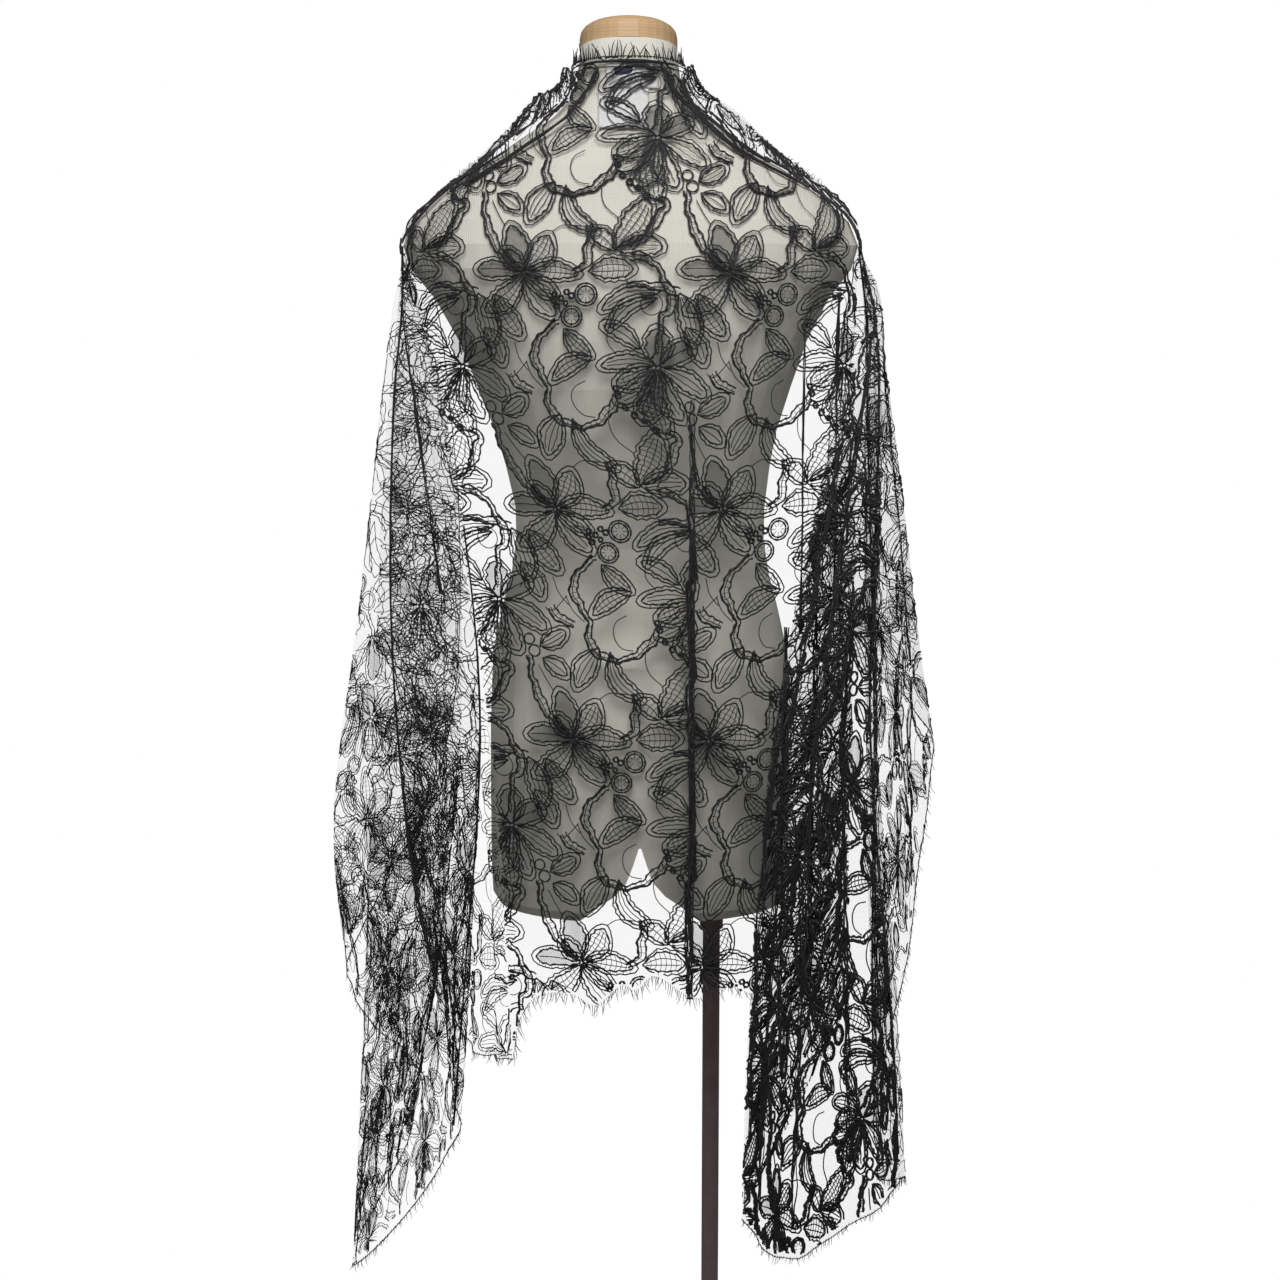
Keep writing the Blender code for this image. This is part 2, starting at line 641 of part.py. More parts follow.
def make_lashes():
    """Raw eyelash edges of the back hem and of the nape, on the back panel's own edge points."""
    inner = back_angles(BACK_COLUMNS)[LASH_INSET:-LASH_INSET]
    hem = divide([back_point(a, 1.0) for a in inner], HEM_LASHES)
    lash_strip("stole_hem_lashes", hem, Vector((0, 0, -1)))
    nape = divide([off_point(a, TOP_EDGE_Z, NAPE_GAP) for a in inner], NAPE_LASHES)
    lash_strip("stole_nape_lashes", nape, Vector((0, 0, 1)))


def make_tape(tape, finish):
    """Plain tape that lies round the back of the neck."""
    grid = []
    for j in range(TAPE_ROWS + 1):
        z = tape.high + (tape.low - tape.high) * j / TAPE_ROWS
        wide = form_size(z, "half_width") + tape.off
        line = []
        for i in range(TAPE_COLUMNS + 1):
            x = tape.left + (tape.right - tape.left) * i / TAPE_COLUMNS - LEAN[-1].x
            share = max(-TAPE_REACH, min(TAPE_REACH, x / wide))
            angle = math.acos(-math.copysign(abs(share) ** (SECTION_POWER / 2), share))
            line.append(off_point(angle, z, tape.off))
        grid.append(line)
    add_object(tape.name, wall(grid, TAPE_WALL), finish)


def main():
    clear_scene()
    make_stand()
    make_form()
    make_cap()
    make_back()
    make_shoulder("stole_left_shoulder", LEFT_STAND, -1)
    make_shoulder("stole_right_shoulder", RIGHT_STAND, 1)
    make_left_end()
    make_right_end()
    make_lashes()
    for tape, finish in zip(TAPES, (WHITE_TAPE, WHITE_TAPE, NAVY_TAPE)):
        make_tape(tape, finish)


main()
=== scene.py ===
"""Black corded lace stole over the back of a cream dress form on its stand.

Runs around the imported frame. Metres, +Z up. The origin is the centre of the base's underside
and the form's back faces -Y. Tables and functions of the cloth work in the form's own frame,
whose X is zero on the form's middle line; FORM_X moves them beside the pole in each mesh.
"""
import math
import random
from collections import namedtuple

import bpy
import numpy as np
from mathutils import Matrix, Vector


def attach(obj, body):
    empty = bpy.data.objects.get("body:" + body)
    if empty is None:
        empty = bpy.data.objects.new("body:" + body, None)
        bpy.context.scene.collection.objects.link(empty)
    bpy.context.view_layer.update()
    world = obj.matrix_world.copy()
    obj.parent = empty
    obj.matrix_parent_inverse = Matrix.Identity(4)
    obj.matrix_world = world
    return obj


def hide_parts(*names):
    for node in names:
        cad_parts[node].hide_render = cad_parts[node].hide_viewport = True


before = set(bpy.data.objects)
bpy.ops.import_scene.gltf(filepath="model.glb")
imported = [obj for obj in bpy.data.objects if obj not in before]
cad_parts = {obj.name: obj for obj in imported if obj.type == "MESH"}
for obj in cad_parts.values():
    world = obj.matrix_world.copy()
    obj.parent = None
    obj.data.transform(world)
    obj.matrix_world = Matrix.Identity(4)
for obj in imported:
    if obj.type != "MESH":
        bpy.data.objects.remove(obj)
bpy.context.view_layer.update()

bl_info = {
    "name": "Lace stole on a dress form",
    "version": (1, 0, 0),
    "blender": (4, 5, 0),
    "location": "3D View > Sidebar > Stole",
    "description": "Corded lace stole with pleated hanging ends, its dress form and a plain stage",
    "category": "Object",
}

# Form sizes
FORM_X = -0.065
SECTION_POWER = 2.3
NECK_BASE = 1.378
NECK_TOP = 1.4346
NECK_TILT = 0.158
NORMAL_STEP = 0.002

# Cloth sizes
NET_GAP = 0.0019
HANGING_GAP = 0.0020
HANGING_GAP_REACH = 0.020
NAPE_GAP = 0.0055
NAPE_GAP_LOW = 1.335
NAPE_GAP_HIGH = 1.360
FLAT_SECTION_Z = 1.160
SHOULDER_TIP_Z = 1.270
TOP_EDGE_Z = 1.420
LOWEST_HEM_Z = 0.560
RIPPLE_TOP_Z = 1.10
RIPPLE_RUN = 0.30
RIPPLE_DEPTH = 0.0034
SMALL_RIPPLE_DEPTH = 0.0011
SHOULDER_SWELL = 0.006
TUCK_X = 0.043
TUCK_WIDTH = 0.0045
TUCK_TOP_Z = 1.145
TUCK_LIFT = 0.0012
TUCK_CORDS = 6

# Grid of the back panel: heights of its rows, closer above the shoulder tips, and its columns
UPPER_ROWS = 39
BACK_LEVELS = np.concatenate((
    np.linspace(TOP_EDGE_Z, SHOULDER_TIP_Z, UPPER_ROWS),
    np.linspace(1.266, LOWEST_HEM_Z, 178),
))
BACK_COLUMNS = 112
HANGING_NET_ROWS = 130

# Where the chart lies: the cloth's own place at the back's middle, and one flower's eye across and down
MIDDLE_X = -0.0095
MIDDLE_ACROSS = -0.0525
FLOWER_ACROSS = -0.1085
FLOWER_DOWN = 0.213
# How far the chart reaches round a flower's eye
CHART_LEFT = 0.09
CHART_RIGHT = 0.14
CHART_TOP = 0.11
CHART_BOTTOM = 0.18

# Shoulder stretches: columns, and the flutter of their standing edge
SHOULDER_COLUMNS = 15
FLUTTER = 0.0035
FLUTTER_WAVES = 55

# Rows of an end as shares of its length, closer at the tip, and the steps from one fold to the next
END_SHARES = np.concatenate((np.linspace(0, 0.1, 9)[:-1], np.linspace(0.1, 1.0, 82)))
FOLD_STEPS = 14
PANEL_STEPS = tuple(k / FOLD_STEPS for k in range(FOLD_STEPS))
END_LEVELS = 170
PLEAT_COLUMNS = 17
PLEAT_TOP_SHARE = 0.22

# Threads: nearly one turn for random starts of waves, radii, and how far they lie off the net
TURN = 6.28
EDGE_RADIUS = 0.0005
NAPE_RADIUS = 0.0006
PATCH_LIFT = 0.0003
LASH_RADII = np.array((0.00026, 0.00024, 0.0002, 0.00012))
LASH_LIFT = 0.12
LASH_ROOT = 0.0015

# Camera, and lamps with the point that each is aimed at
CAMERA_PLACE = (FORM_X, -1.94, 1.2245)
CAMERA_PITCH = 8.8
CAMERA_SENSOR = 36.0
CAMERA_LENS = 61.9
Lamp = namedtuple("Lamp", "name place aim")
KEY_LAMP = Lamp("key", (FORM_X, -1.15, 2.25), (FORM_X, -0.05, 1.25))
SIDE_LAMPS = (
    Lamp("left", (-1.9, -0.3, 1.5), (FORM_X, 0, 1.0)),
    Lamp("right", (1.8, -0.3, 1.5), (FORM_X, 0, 1.0)),
)
LAMP_SIZE = 1.0

# Form sections, from the stub bottoms to the neck: half width, depth to the back and to the front
Ring = namedtuple("Ring", "z half_width back front")
RINGS = (
    Ring(0.686, 0.118, 0.078, 0.070),
    Ring(0.690, 0.128, 0.090, 0.081),
    Ring(0.699, 0.133, 0.098, 0.088),
    Ring(0.720, 0.134, 0.103, 0.092),
    Ring(0.760, 0.134, 0.107, 0.095),
    Ring(0.805, 0.134, 0.111, 0.097),
    Ring(0.850, 0.1335, 0.112, 0.098),
    Ring(0.915, 0.131, 0.104, 0.096),
    Ring(0.955, 0.122, 0.093, 0.091),
    Ring(0.985, 0.114, 0.084, 0.084),
    Ring(1.015, 0.1095, 0.079, 0.079),
    Ring(1.045, 0.110, 0.080, 0.080),
    Ring(1.080, 0.116, 0.088, 0.087),
    Ring(1.110, 0.123, 0.096, 0.098),
    Ring(1.150, 0.137, 0.106, 0.113),
    Ring(1.190, 0.152, 0.111, 0.117),
    Ring(1.225, 0.171, 0.112, 0.107),
    Ring(1.250, 0.191, 0.109, 0.097),
    Ring(1.270, 0.197, 0.105, 0.088),
    Ring(1.290, 0.189, 0.098, 0.080),
    Ring(1.310, 0.167, 0.090, 0.073),
    Ring(1.335, 0.132, 0.080, 0.066),
    Ring(1.360, 0.094, 0.067, 0.060),
    Ring(1.378, 0.066, 0.056, 0.056),
    Ring(1.392, 0.052, 0.049, 0.054),
    Ring(1.408, 0.0445, 0.045, 0.053),
    Ring(1.4346, 0.0415, 0.044, 0.051),
)

# The form's slight lean to the left, from the waist up
Lean = namedtuple("Lean", "z x")
LEAN = (
    Lean(1.050, 0.000),
    Lean(1.120, -0.004),
    Lean(1.270, -0.008),
    Lean(1.450, -0.010),
)

# Back panel below the shoulder tips: its two side edges and their depth, and its depth in the middle
Section = namedtuple("Section", "z left left_y middle_y right right_y")
HANGING_SECTIONS = (
    Section(1.240, -0.1990, -0.024, -0.1165, 0.186, -0.024),
    Section(1.200, -0.1860, -0.048, -0.1175, 0.183, -0.042),
    Section(1.140, -0.1740, -0.066, -0.1180, 0.183, -0.056),
    Section(1.050, -0.1570, -0.077, -0.1180, 0.184, -0.065),
    Section(0.950, -0.1410, -0.084, -0.1180, 0.184, -0.070),
    Section(0.850, -0.1290, -0.088, -0.1190, 0.184, -0.073),
    Section(0.740, -0.1210, -0.089, -0.1200, 0.182, -0.075),
    Section(0.560, -0.1110, -0.090, -0.1200, 0.180, -0.076),
)

# Back hem: its height at each share of the way from the middle to a side edge, with its scallops
HemPoint = namedtuple("HemPoint", "across z")
BACK_HEM = (
    HemPoint(-1.00, 0.566),
    HemPoint(-0.95, 0.600),
    HemPoint(-0.83, 0.625),
    HemPoint(-0.62, 0.630),
    HemPoint(-0.49, 0.621),
    HemPoint(-0.32, 0.642),
    HemPoint(-0.25, 0.637),
    HemPoint(-0.14, 0.650),
    HemPoint(0.09, 0.631),
    HemPoint(0.29, 0.640),
    HemPoint(0.40, 0.633),
    HemPoint(0.55, 0.624),
    HemPoint(1.00, 0.605),
)

# Folds of an end, from the back panel outwards: place at four shares of the length, and at the hem
Fold = namedtuple("Fold", "top_y x08 y08 x20 y20 x50 x80 x_hem hang_y hem_z")
FOLD_SHARES = (0.0, 0.08, 0.20, 0.50, 0.80, 1.0)
LEFT_FOLDS = (
    Fold(0.004, -0.203, -0.022, -0.190, -0.056, -0.165, -0.147, -0.148, -0.078, 0.572),
    Fold(0.009, -0.207, -0.012, -0.211, -0.045, -0.213, -0.199, -0.176, -0.065, 0.616),
    Fold(0.018, -0.190, -0.004, -0.168, -0.022, -0.144, -0.158, -0.171, -0.035, 0.466),
    Fold(0.028, -0.214, 0.008, -0.224, 0.000, -0.240, -0.256, -0.269, -0.005, 0.337),
    Fold(0.038, -0.190, 0.020, -0.172, 0.020, -0.160, -0.180, -0.205, 0.020, 0.500),
    Fold(0.048, -0.220, 0.034, -0.234, 0.040, -0.258, -0.283, -0.273, 0.045, 0.600),
    Fold(0.060, -0.185, 0.052, -0.176, 0.060, -0.166, -0.172, -0.195, 0.070, 0.760),
)
RIGHT_FOLDS = (
    Fold(0.003, 0.192, -0.034, 0.158, -0.096, 0.110, 0.092, 0.088, -0.134, 0.437),
    Fold(0.009, 0.199, -0.028, 0.181, -0.092, 0.146, 0.136, 0.131, -0.133, 0.401),
    Fold(0.016, 0.204, -0.010, 0.203, -0.064, 0.197, 0.219, 0.2295, -0.098, 0.455),
    Fold(0.030, 0.198, 0.016, 0.197, -0.005, 0.204, 0.207, 0.213, -0.030, 0.470),
    Fold(0.045, 0.212, 0.034, 0.218, 0.030, 0.234, 0.250, 0.264, 0.020, 0.810),
    Fold(0.060, 0.190, 0.052, 0.182, 0.058, 0.172, 0.176, 0.196, 0.060, 0.900),
)

# Standing edge of the stole in front of each shoulder, from the neck to the tip
Stand = namedtuple("Stand", "ridge_z edge_x edge_y edge_z")
LEFT_STAND = (
    Stand(1.420, -0.062, 0.030, 1.410),
    Stand(1.400, -0.072, 0.036, 1.402),
    Stand(1.378, -0.088, 0.038, 1.399),
    Stand(1.350, -0.122, 0.044, 1.358),
    Stand(1.320, -0.160, 0.050, 1.327),
    Stand(1.292, -0.186, 0.056, 1.301),
    Stand(1.270, -0.205, 0.060, 1.272),
)
RIGHT_STAND = (
    Stand(1.420, 0.040, 0.030, 1.418),
    Stand(1.400, 0.052, 0.036, 1.402),
    Stand(1.378, 0.080, 0.038, 1.386),
    Stand(1.350, 0.112, 0.044, 1.356),
    Stand(1.320, 0.144, 0.050, 1.334),
    Stand(1.292, 0.176, 0.056, 1.314),
    Stand(1.270, 0.195, 0.060, 1.289),
)

# Tapes sewn at the nape, between the neck and the lace: sides, heights and distance off the neck
Tape = namedtuple("Tape", "name node left right low high off")
TAPES = (
    Tape("label_tape_cloth", "label_tape", -0.0290, 0.0150, 1.3960, 1.4180, 0.0032),
    Tape("label_care_cloth", "label_care_tag", -0.0360, 0.0070, 1.3640, 1.3954, 0.0032),
    Tape("label_size_cloth", "label_size_tab", -0.0220, -0.0040, 1.4060, 1.4120, 0.0041),
)
TAPE_WALL = 0.0005

# Cloth that the tuck takes up on its left and right, at each height
Take = namedtuple("Take", "z left right")
TAKES = (
    Take(0.600, 0.046, 0.022),
    Take(0.842, 0.040, 0.016),
    Take(1.035, 0.0275, 0.007),
    Take(1.145, 0.000, 0.000),
)

# Bands of an end: the folds and shares of the length that each covers, the cords' weight, and
# whether the whole chart is worked or its outlines alone
Band = namedtuple("Band", "first last high low weight whole")
LEFT_BANDS = (
    Band(0.0, 2.6, 0.0, 1.1, 0.62, True),
    Band(2.6, 9.0, 0.0, 0.55, 0.44, False),
    Band(2.6, 9.0, 0.55, 1.1, 0.56, True),
)
RIGHT_BANDS = (
    Band(0.0, 2.1, 0.0, 1.1, 1.40, True),
    Band(2.1, 3.0, 0.0, 1.1, 0.40, False),
    Band(3.0, 9.0, 0.0, 1.1, 0.62, True),
)
# Creases of an end along which threads crowd: fold, shares of the length, spread, number and radius
Crease = namedtuple("Crease", "fold high low spread count radius")
LEFT_CREASES = (
    Crease(1.0, 0.00, 0.42, 0.0030, 5, 0.0006),
    Crease(2.0, 0.00, 0.98, 0.0026, 6, 0.0007),
    Crease(3.0, 0.30, 0.98, 0.0022, 5, 0.0006),
)
RIGHT_CREASES = (
    Crease(3.0, 0.00, 0.97, 0.0014, 4, 0.0006),
    Crease(2.0, 0.00, 0.97, 0.0024, 4, 0.0006),
    Crease(1.0, 0.08, 0.97, 0.0040, 6, 0.0006),
    Crease(0.4, 0.20, 0.97, 0.0060, 6, 0.0006),
    Crease(1.5, 0.34, 0.94, 0.0060, 8, 0.0006),
    Crease(0.1, 0.42, 0.92, 0.0050, 6, 0.0006),
)
# Gathered bands of the back panel: heights and places across that they run through, spread, number and radius
Gather = namedtuple("Gather", "path spread count radius")
NECK_GATHERS = (
    Gather(
        ((1.418, -0.034), (1.400, -0.043), (1.385, -0.054),
         (1.372, -0.064), (1.350, -0.096), (1.318, -0.148)),
        0.0036, 12, 0.0006,
    ),
    Gather(
        ((1.350, -0.108), (1.318, -0.160), (1.285, -0.194), (1.272, -0.204)),
        0.0030, 7, 0.0006,
    ),
    Gather(
        ((1.418, 0.020), (1.396, 0.029), (1.378, 0.047),
         (1.356, 0.070), (1.340, 0.096), (1.318, 0.142)),
        0.0046, 13, 0.0006,
    ),
    Gather(
        ((1.412, 0.034), (1.388, 0.042), (1.370, 0.062), (1.350, 0.088), (1.334, 0.116)),
        0.0040, 10, 0.0006,
    ),
    Gather(((1.345, 0.100), (1.318, 0.150), (1.290, 0.179), (1.272, 0.187)), 0.0034, 8, 0.0006),
)
PLEAT_GATHERS = (
    Gather(((1.212, 0.138), (0.950, 0.136)), 0.0014, 4, 0.0006),
    Gather(((1.235, 0.167), (0.950, 0.165)), 0.0020, 5, 0.0006),
    Gather(((1.020, 0.150), (0.640, 0.146)), 0.0040, 7, 0.0006),
    Gather(((0.960, 0.124), (0.640, 0.120)), 0.0030, 6, 0.0006),
)
# Columns of the back panel that the nape's dark band, its loose threads and the hem's take up
NAPE_BAND = slice(26, 88)
NAPE_SPAN = slice(8, -8)
HEM_SPAN = slice(4, -4)


# One end: its names, side, turns round the tip, ripple depth, flat size, area, seed, bands, creases and net
End = namedtuple("End", "name node side first_turn last_turn depth flat area seed bands creases net")
LEFT_END = End(
    "lace_left_end", "stole_left_end", -1, -0.16, 1.75, 0.004,
    (0.74, 0.86), 0.42, 31, LEFT_BANDS, LEFT_CREASES, "thin_net",
)
RIGHT_END = End(
    "lace_right_end", "stole_right_end", 1, 0.10, 1.60, 0.0035,
    (0.55, 0.80), 0.26, 32, RIGHT_BANDS, RIGHT_CREASES, "close_net",
)

# Chart of the lace, in millimetres from a flower's eye, across and down
# A petal or leaf: its foot, heading (0 right, 90 down), length, width, bend, bluntness, veins and filling
Petal = namedtuple("Petal", "x y heading length width bend blunt veins filling")
FLOWER = (
    Petal(-30, -24, -108, 40, 18, 0, 0.4, 0, "dark"),
    Petal(-31, -23, -134, 24, 13, 0, 0.6, 0, "dark"),
    Petal(-32, -21, -176, 40, 14, 2, 0.9, 1, "dark"),
    Petal(-31, -23, -54, 37, 19, 4, 0.6, 3, "rungs"),
    Petal(-31, -22, 3, 46, 15, -3, 0.3, 2, "rungs"),
    Petal(-31, -20, 34, 32, 11, 0, 0.9, 2, "plain"),
    Petal(-32, -19, 51, 43, 15, 2, 0.8, 2, "plain"),
    Petal(-31, -19, 140, 47, 17, -4, 0.6, 2, "rungs"),
)
FAN = (
    Petal(80, 56, -92, 31, 21, 1, 0.7, 0, "dark"),
    Petal(82, 56, -31, 31, 17, -2, 0.9, 1, "dark"),
    Petal(78, 54, 178, 45, 12, 3, 0.5, 2, "plain"),
    Petal(79, 56, 156, 36, 17, -2, 0.6, 3, "rungs"),
    Petal(79, 58, 141, 43, 14, -4, 0.7, 2, "plain"),
    Petal(80, 59, 114, 46, 18, -5, 0.9, 3, "rungs"),
    Petal(81, 58, 93, 54, 20, 4, 0.9, 3, "rungs"),
    Petal(82, 59, 72, 44, 17, 4, 0.8, 2, "plain"),
    Petal(82, 57, 32, 46, 14, -2, 0.8, 2, "plain"),
)
LEAVES = (
    Petal(43, -42, -55, 52, 22, 3, 0.5, 3, "rungs"),
    Petal(46, -41, -4, 38, 17, -2, 1.0, 3, "plain"),
    Petal(45, -40, -138, 26, 14, 2, 0.6, 1, "rungs"),
    Petal(23, -22, -3, 37, 18, -2, 0.5, 2, "rungs"),
    Petal(98, -4, 74, 43, 17, -2, 0.5, 3, "plain"),
    Petal(114, -3, 57, 41, 15, 2, 0.8, 2, "rungs"),
    Petal(-68, 24, 62, 34, 13, -2, 0.7, 2, "plain"),
    Petal(2, 25, 44, 32, 11, 2, 0.3, 2, "rungs"),
    Petal(26, 48, 150, 40, 13, 4, 0.3, 2, "rungs"),
    Petal(114, 96, -30, 27, 12, 1, 0.5, 2, "plain"),
    Petal(116, 106, 34, 25, 11, -1, 0.5, 1, "plain"),
    Petal(-5, -100, 122, 40, 17, 2, 0.4, 3, "plain"),
    Petal(4, -97, 58, 48, 12, 9, 0.8, 2, "plain"),
    Petal(82, -5, 163, 50, 11, 6, 0.7, 2, "plain"),
    Petal(80, 0, 148, 46, 9, 7, 0.7, 1, "plain"),
    Petal(66, 42, -147, 36, 10, 3, 0.9, 1, "plain"),
)
# Paths of the ribbed stems and of the single fine threads, and the rings
STEMS = (
    (
        (-3, 19), (-17, 31), (-24, 45), (-19, 60), (-12, 73), (-13, 90),
        (-5, 101), (9, 106), (23, 103), (35, 94), (45, 84),
    ),
    ((58, -36), (72, -33), (82, -23), (87, -11), (92, -1), (90, 9), (83, 17), (82, 31), (80, 50)),
    ((24, -62), (25, -54), (23, -41), (21, -27), (10, -22)),
    ((54, -12), (70, -11), (84, -9), (98, -5)),
    ((-66, -92), (-66, -76), (-61, -60), (-55, -46), (-44, -33), (-34, -26)),
    ((126, 62), (134, 72), (146, 76)),
    ((80, 108), (88, 116), (80, 128), (72, 142), (58, 154)),
)
THREADS = (
    ((20, 68), (10, 74), (8, 86), (14, 96), (24, 98)),
    ((-7, -56), (3, -62), (24, -60)),
    ((-31, 52), (-26, 64), (-16, 74)),
    ((130, 36), (134, 50), (142, 60)),
    ((34, 18), (42, 14), (38, 34), (46, 46)),
    ((-50, 62), (-44, 66), (-30, 52)),
    ((100, 46), (106, 40), (124, 36)),
    ((46, 84), (62, 100), (72, 110)),
    ((40, 86), (34, 100), (36, 116), (48, 128)),
    ((112, 112), (118, 124), (124, 134)),
)
RingSpot = namedtuple("RingSpot", "x y radius double")
RINGS_OF_LACE = (
    RingSpot(0, 0, 2.4, False),
    RingSpot(-5, -3, 2.2, False),
    RingSpot(5, -5, 2.2, False),
    RingSpot(9, -2, 2.4, False),
    RingSpot(-3, 6, 2.2, False),
    RingSpot(4, 4, 2.0, False),
    RingSpot(-6, 2, 2.0, False),
    RingSpot(21, -3, 7.0, True),
    RingSpot(9, 15, 6.5, True),
    RingSpot(47, 80, 2.6, False),
    RingSpot(51, 90, 2.4, False),
    RingSpot(57, 96, 2.8, False),
    RingSpot(64, 101, 2.2, False),
    RingSpot(71, 108, 2.8, False),
    RingSpot(45, 74, 2.2, False),
    RingSpot(75, 5, 9.0, False),
    RingSpot(105, 90, 4.6, False),
    RingSpot(109, 100, 5.0, False),
)
CHART_STEP = 2.6
OUTER_STEP = 3.4
FINE_STEP = 4.6
OUTLINE_GAP = 3.0
STEM_HALF = 2.7
STEM_SWELL = 0.9
RUNG_STEP = 4.4
RUFFLE_LENGTH = 8.0


def smooth_at(places, values, place):
    """Value at a place on a smooth curve through a table's values; the ends are held."""
    if places[0] > places[-1]:
        places, values = places[::-1], values[::-1]
    if place <= places[0]:
        return values[0]
    if place >= places[-1]:
        return values[-1]
    last = len(places) - 1
    i = max(k for k in range(last) if places[k] <= place)
    span = places[i + 1] - places[i]

    def slope(k):
        low, high = max(k - 1, 0), min(k + 1, last)
        return (values[high] - values[low]) / (places[high] - places[low])

    t = (place - places[i]) / span
    return (
        (2 * t**3 - 3 * t**2 + 1) * values[i]
        + (t**3 - 2 * t**2 + t) * span * slope(i)
        + (-2 * t**3 + 3 * t**2) * values[i + 1]
        + (t**3 - t**2) * span * slope(i + 1)
    )


def column(table, name):
    return [getattr(row, name) for row in table]


RING_COLUMNS = {name: column(RINGS, name) for name in Ring._fields}
SECTION_COLUMNS = {}
LEAN_Z, LEAN_X = column(LEAN, "z"), column(LEAN, "x")


def form_size(z, name):
    """Half width, back or front depth of the form at a height."""
    return smooth_at(RING_COLUMNS["z"], RING_COLUMNS[name], z)


def rounded_cos(angle):
    value = math.cos(angle)
    return math.copysign(abs(value) ** (2 / SECTION_POWER), value)


def rounded_sin(angle):
    value = math.sin(angle)
    return math.copysign(abs(value) ** (2 / SECTION_POWER), value)


def leaned(point):
    """The point with the form's lean, and with the neck tilted forward, its back edge up."""
    share = max(0.0, (point.z - NECK_BASE) / (NECK_TOP - NECK_BASE))
    aside = smooth_at(LEAN_Z, LEAN_X, point.z)
    return Vector((point.x + aside, point.y, point.z - point.y * NECK_TILT * min(share, 1.0)))


def cloth_gap(z):
    """Distance of the cloth off the form: close at the shoulders, free of the neck."""
    share = max(0.0, min(1.0, (z - NAPE_GAP_LOW) / (NAPE_GAP_HIGH - NAPE_GAP_LOW)))
    return NET_GAP + (NAPE_GAP - NET_GAP) * share * share * (3 - 2 * share)


def form_point(angle, z):
    """Point on the form's section; angle 0 is the left ridge and 90 degrees the back."""
    depth = form_size(z, "back" if math.sin(angle) > 0 else "front")
    return leaned(Vector((-form_size(z, "half_width") * rounded_cos(angle), -depth * rounded_sin(angle), z)))


def off_point(angle, z, off):
    """Point at a distance off the form, along the form's own normal there."""
    around = form_point(angle + NORMAL_STEP, z) - form_point(angle - NORMAL_STEP, z)
    up = form_point(angle, z + NORMAL_STEP) - form_point(angle, z - NORMAL_STEP)
    return form_point(angle, z) + around.cross(up).normalized() * off


def section_columns():
    """Columns of the hanging sections; the first row is the form's own section at the tips."""
    if not SECTION_COLUMNS:
        left = off_point(0.0, SHOULDER_TIP_Z, NET_GAP)
        middle = off_point(math.pi / 2, SHOULDER_TIP_Z, NET_GAP)
        right = off_point(math.pi, SHOULDER_TIP_Z, NET_GAP)
        first = Section(SHOULDER_TIP_Z, left.x, left.y, middle.y, right.x, right.y)
        rows = (first,) + HANGING_SECTIONS
        SECTION_COLUMNS.update({name: column(rows, name) for name in Section._fields})
    return SECTION_COLUMNS


def hanging_size(z, name):
    columns = section_columns()
    return smooth_at(columns["z"], columns[name], z)


def off_form(point):
    """The point, moved back where it would lie closer to the form's back than the cloth's gap."""
    gap = NET_GAP + HANGING_GAP * min(1.0, (SHOULDER_TIP_Z - point.z) / HANGING_GAP_REACH)
    aside = smooth_at(LEAN_Z, LEAN_X, point.z)
    across = abs(point.x - aside) / (form_size(point.z, "half_width") + gap)
    if across >= 1:
        return point
    depth = (form_size(point.z, "back") + gap) * (1 - across**SECTION_POWER) ** (1 / SECTION_POWER)
    return Vector((point.x, min(point.y, -depth), point.z))


def back_ripple(x, z):
    """How far the hanging back panel's soft ripples stand off, growing down from the waist."""
    share = max(0.0, min(1.0, (RIPPLE_TOP_Z - z) / RIPPLE_RUN))
    wave = 0.5 + 0.5 * math.sin(96 * x + 5.0 * z + 1.3 * math.sin(9.0 * z))
    small = 0.5 + 0.5 * math.sin(210 * x - 7.0 * z)
    return share * (RIPPLE_DEPTH * wave + SMALL_RIPPLE_DEPTH * small)


def section_point(angle, z):
    """Point of the hanging back panel, off the form; the angle runs from the left edge to the right."""
    across = -rounded_cos(angle)
    left, right = hanging_size(z, "left"), hanging_size(z, "right")
    side, middle = hanging_size(z, "left_y" if across < 0 else "right_y"), hanging_size(z, "middle_y")
    x = (left + right) / 2 + (right - left) / 2 * across
    flat = max(0.0, min(1.0, (SHOULDER_TIP_Z - z) / (SHOULDER_TIP_Z - FLAT_SECTION_Z)))
    swell = rounded_sin(angle) * (1 - flat) + math.cos(math.pi / 2 * across) * flat
    point = off_form(Vector((x, side + (middle - side) * swell, z)))
    point.y -= back_ripple(point.x, z) * math.sin(angle)
    return point


def hem_height(angle):
    return smooth_at(column(BACK_HEM, "across"), column(BACK_HEM, "z"), -rounded_cos(angle))


def back_place(angle, z):
    """Point of the back panel at any height."""
    return off_point(angle, z, cloth_gap(z)) if z >= SHOULDER_TIP_Z else section_point(angle, z)


def curve_through(points, steps):
    """Points of a smooth curve through the given ones, at some shares of each step."""
    ends = [points[0] * 2 - points[1]] + points + [points[-1] * 2 - points[-2]]
    result = []
    for before, start, end, after in zip(ends, ends[1:], ends[2:], ends[3:]):
        for t in steps:
            result.append(0.5 * (
                2 * start
                + (end - before) * t
                + (2 * before - 5 * start + 4 * end - after) * t**2
                + (3 * start - before - 3 * end + after) * t**3
            ))
    return result + [points[-1]]


def grid_array(grid):
    """Rows of points as one array, in the part's frame."""
    points = np.array([[tuple(p) for p in row] for row in grid], dtype=float)
    points[:, :, 0] += FORM_X
    return points


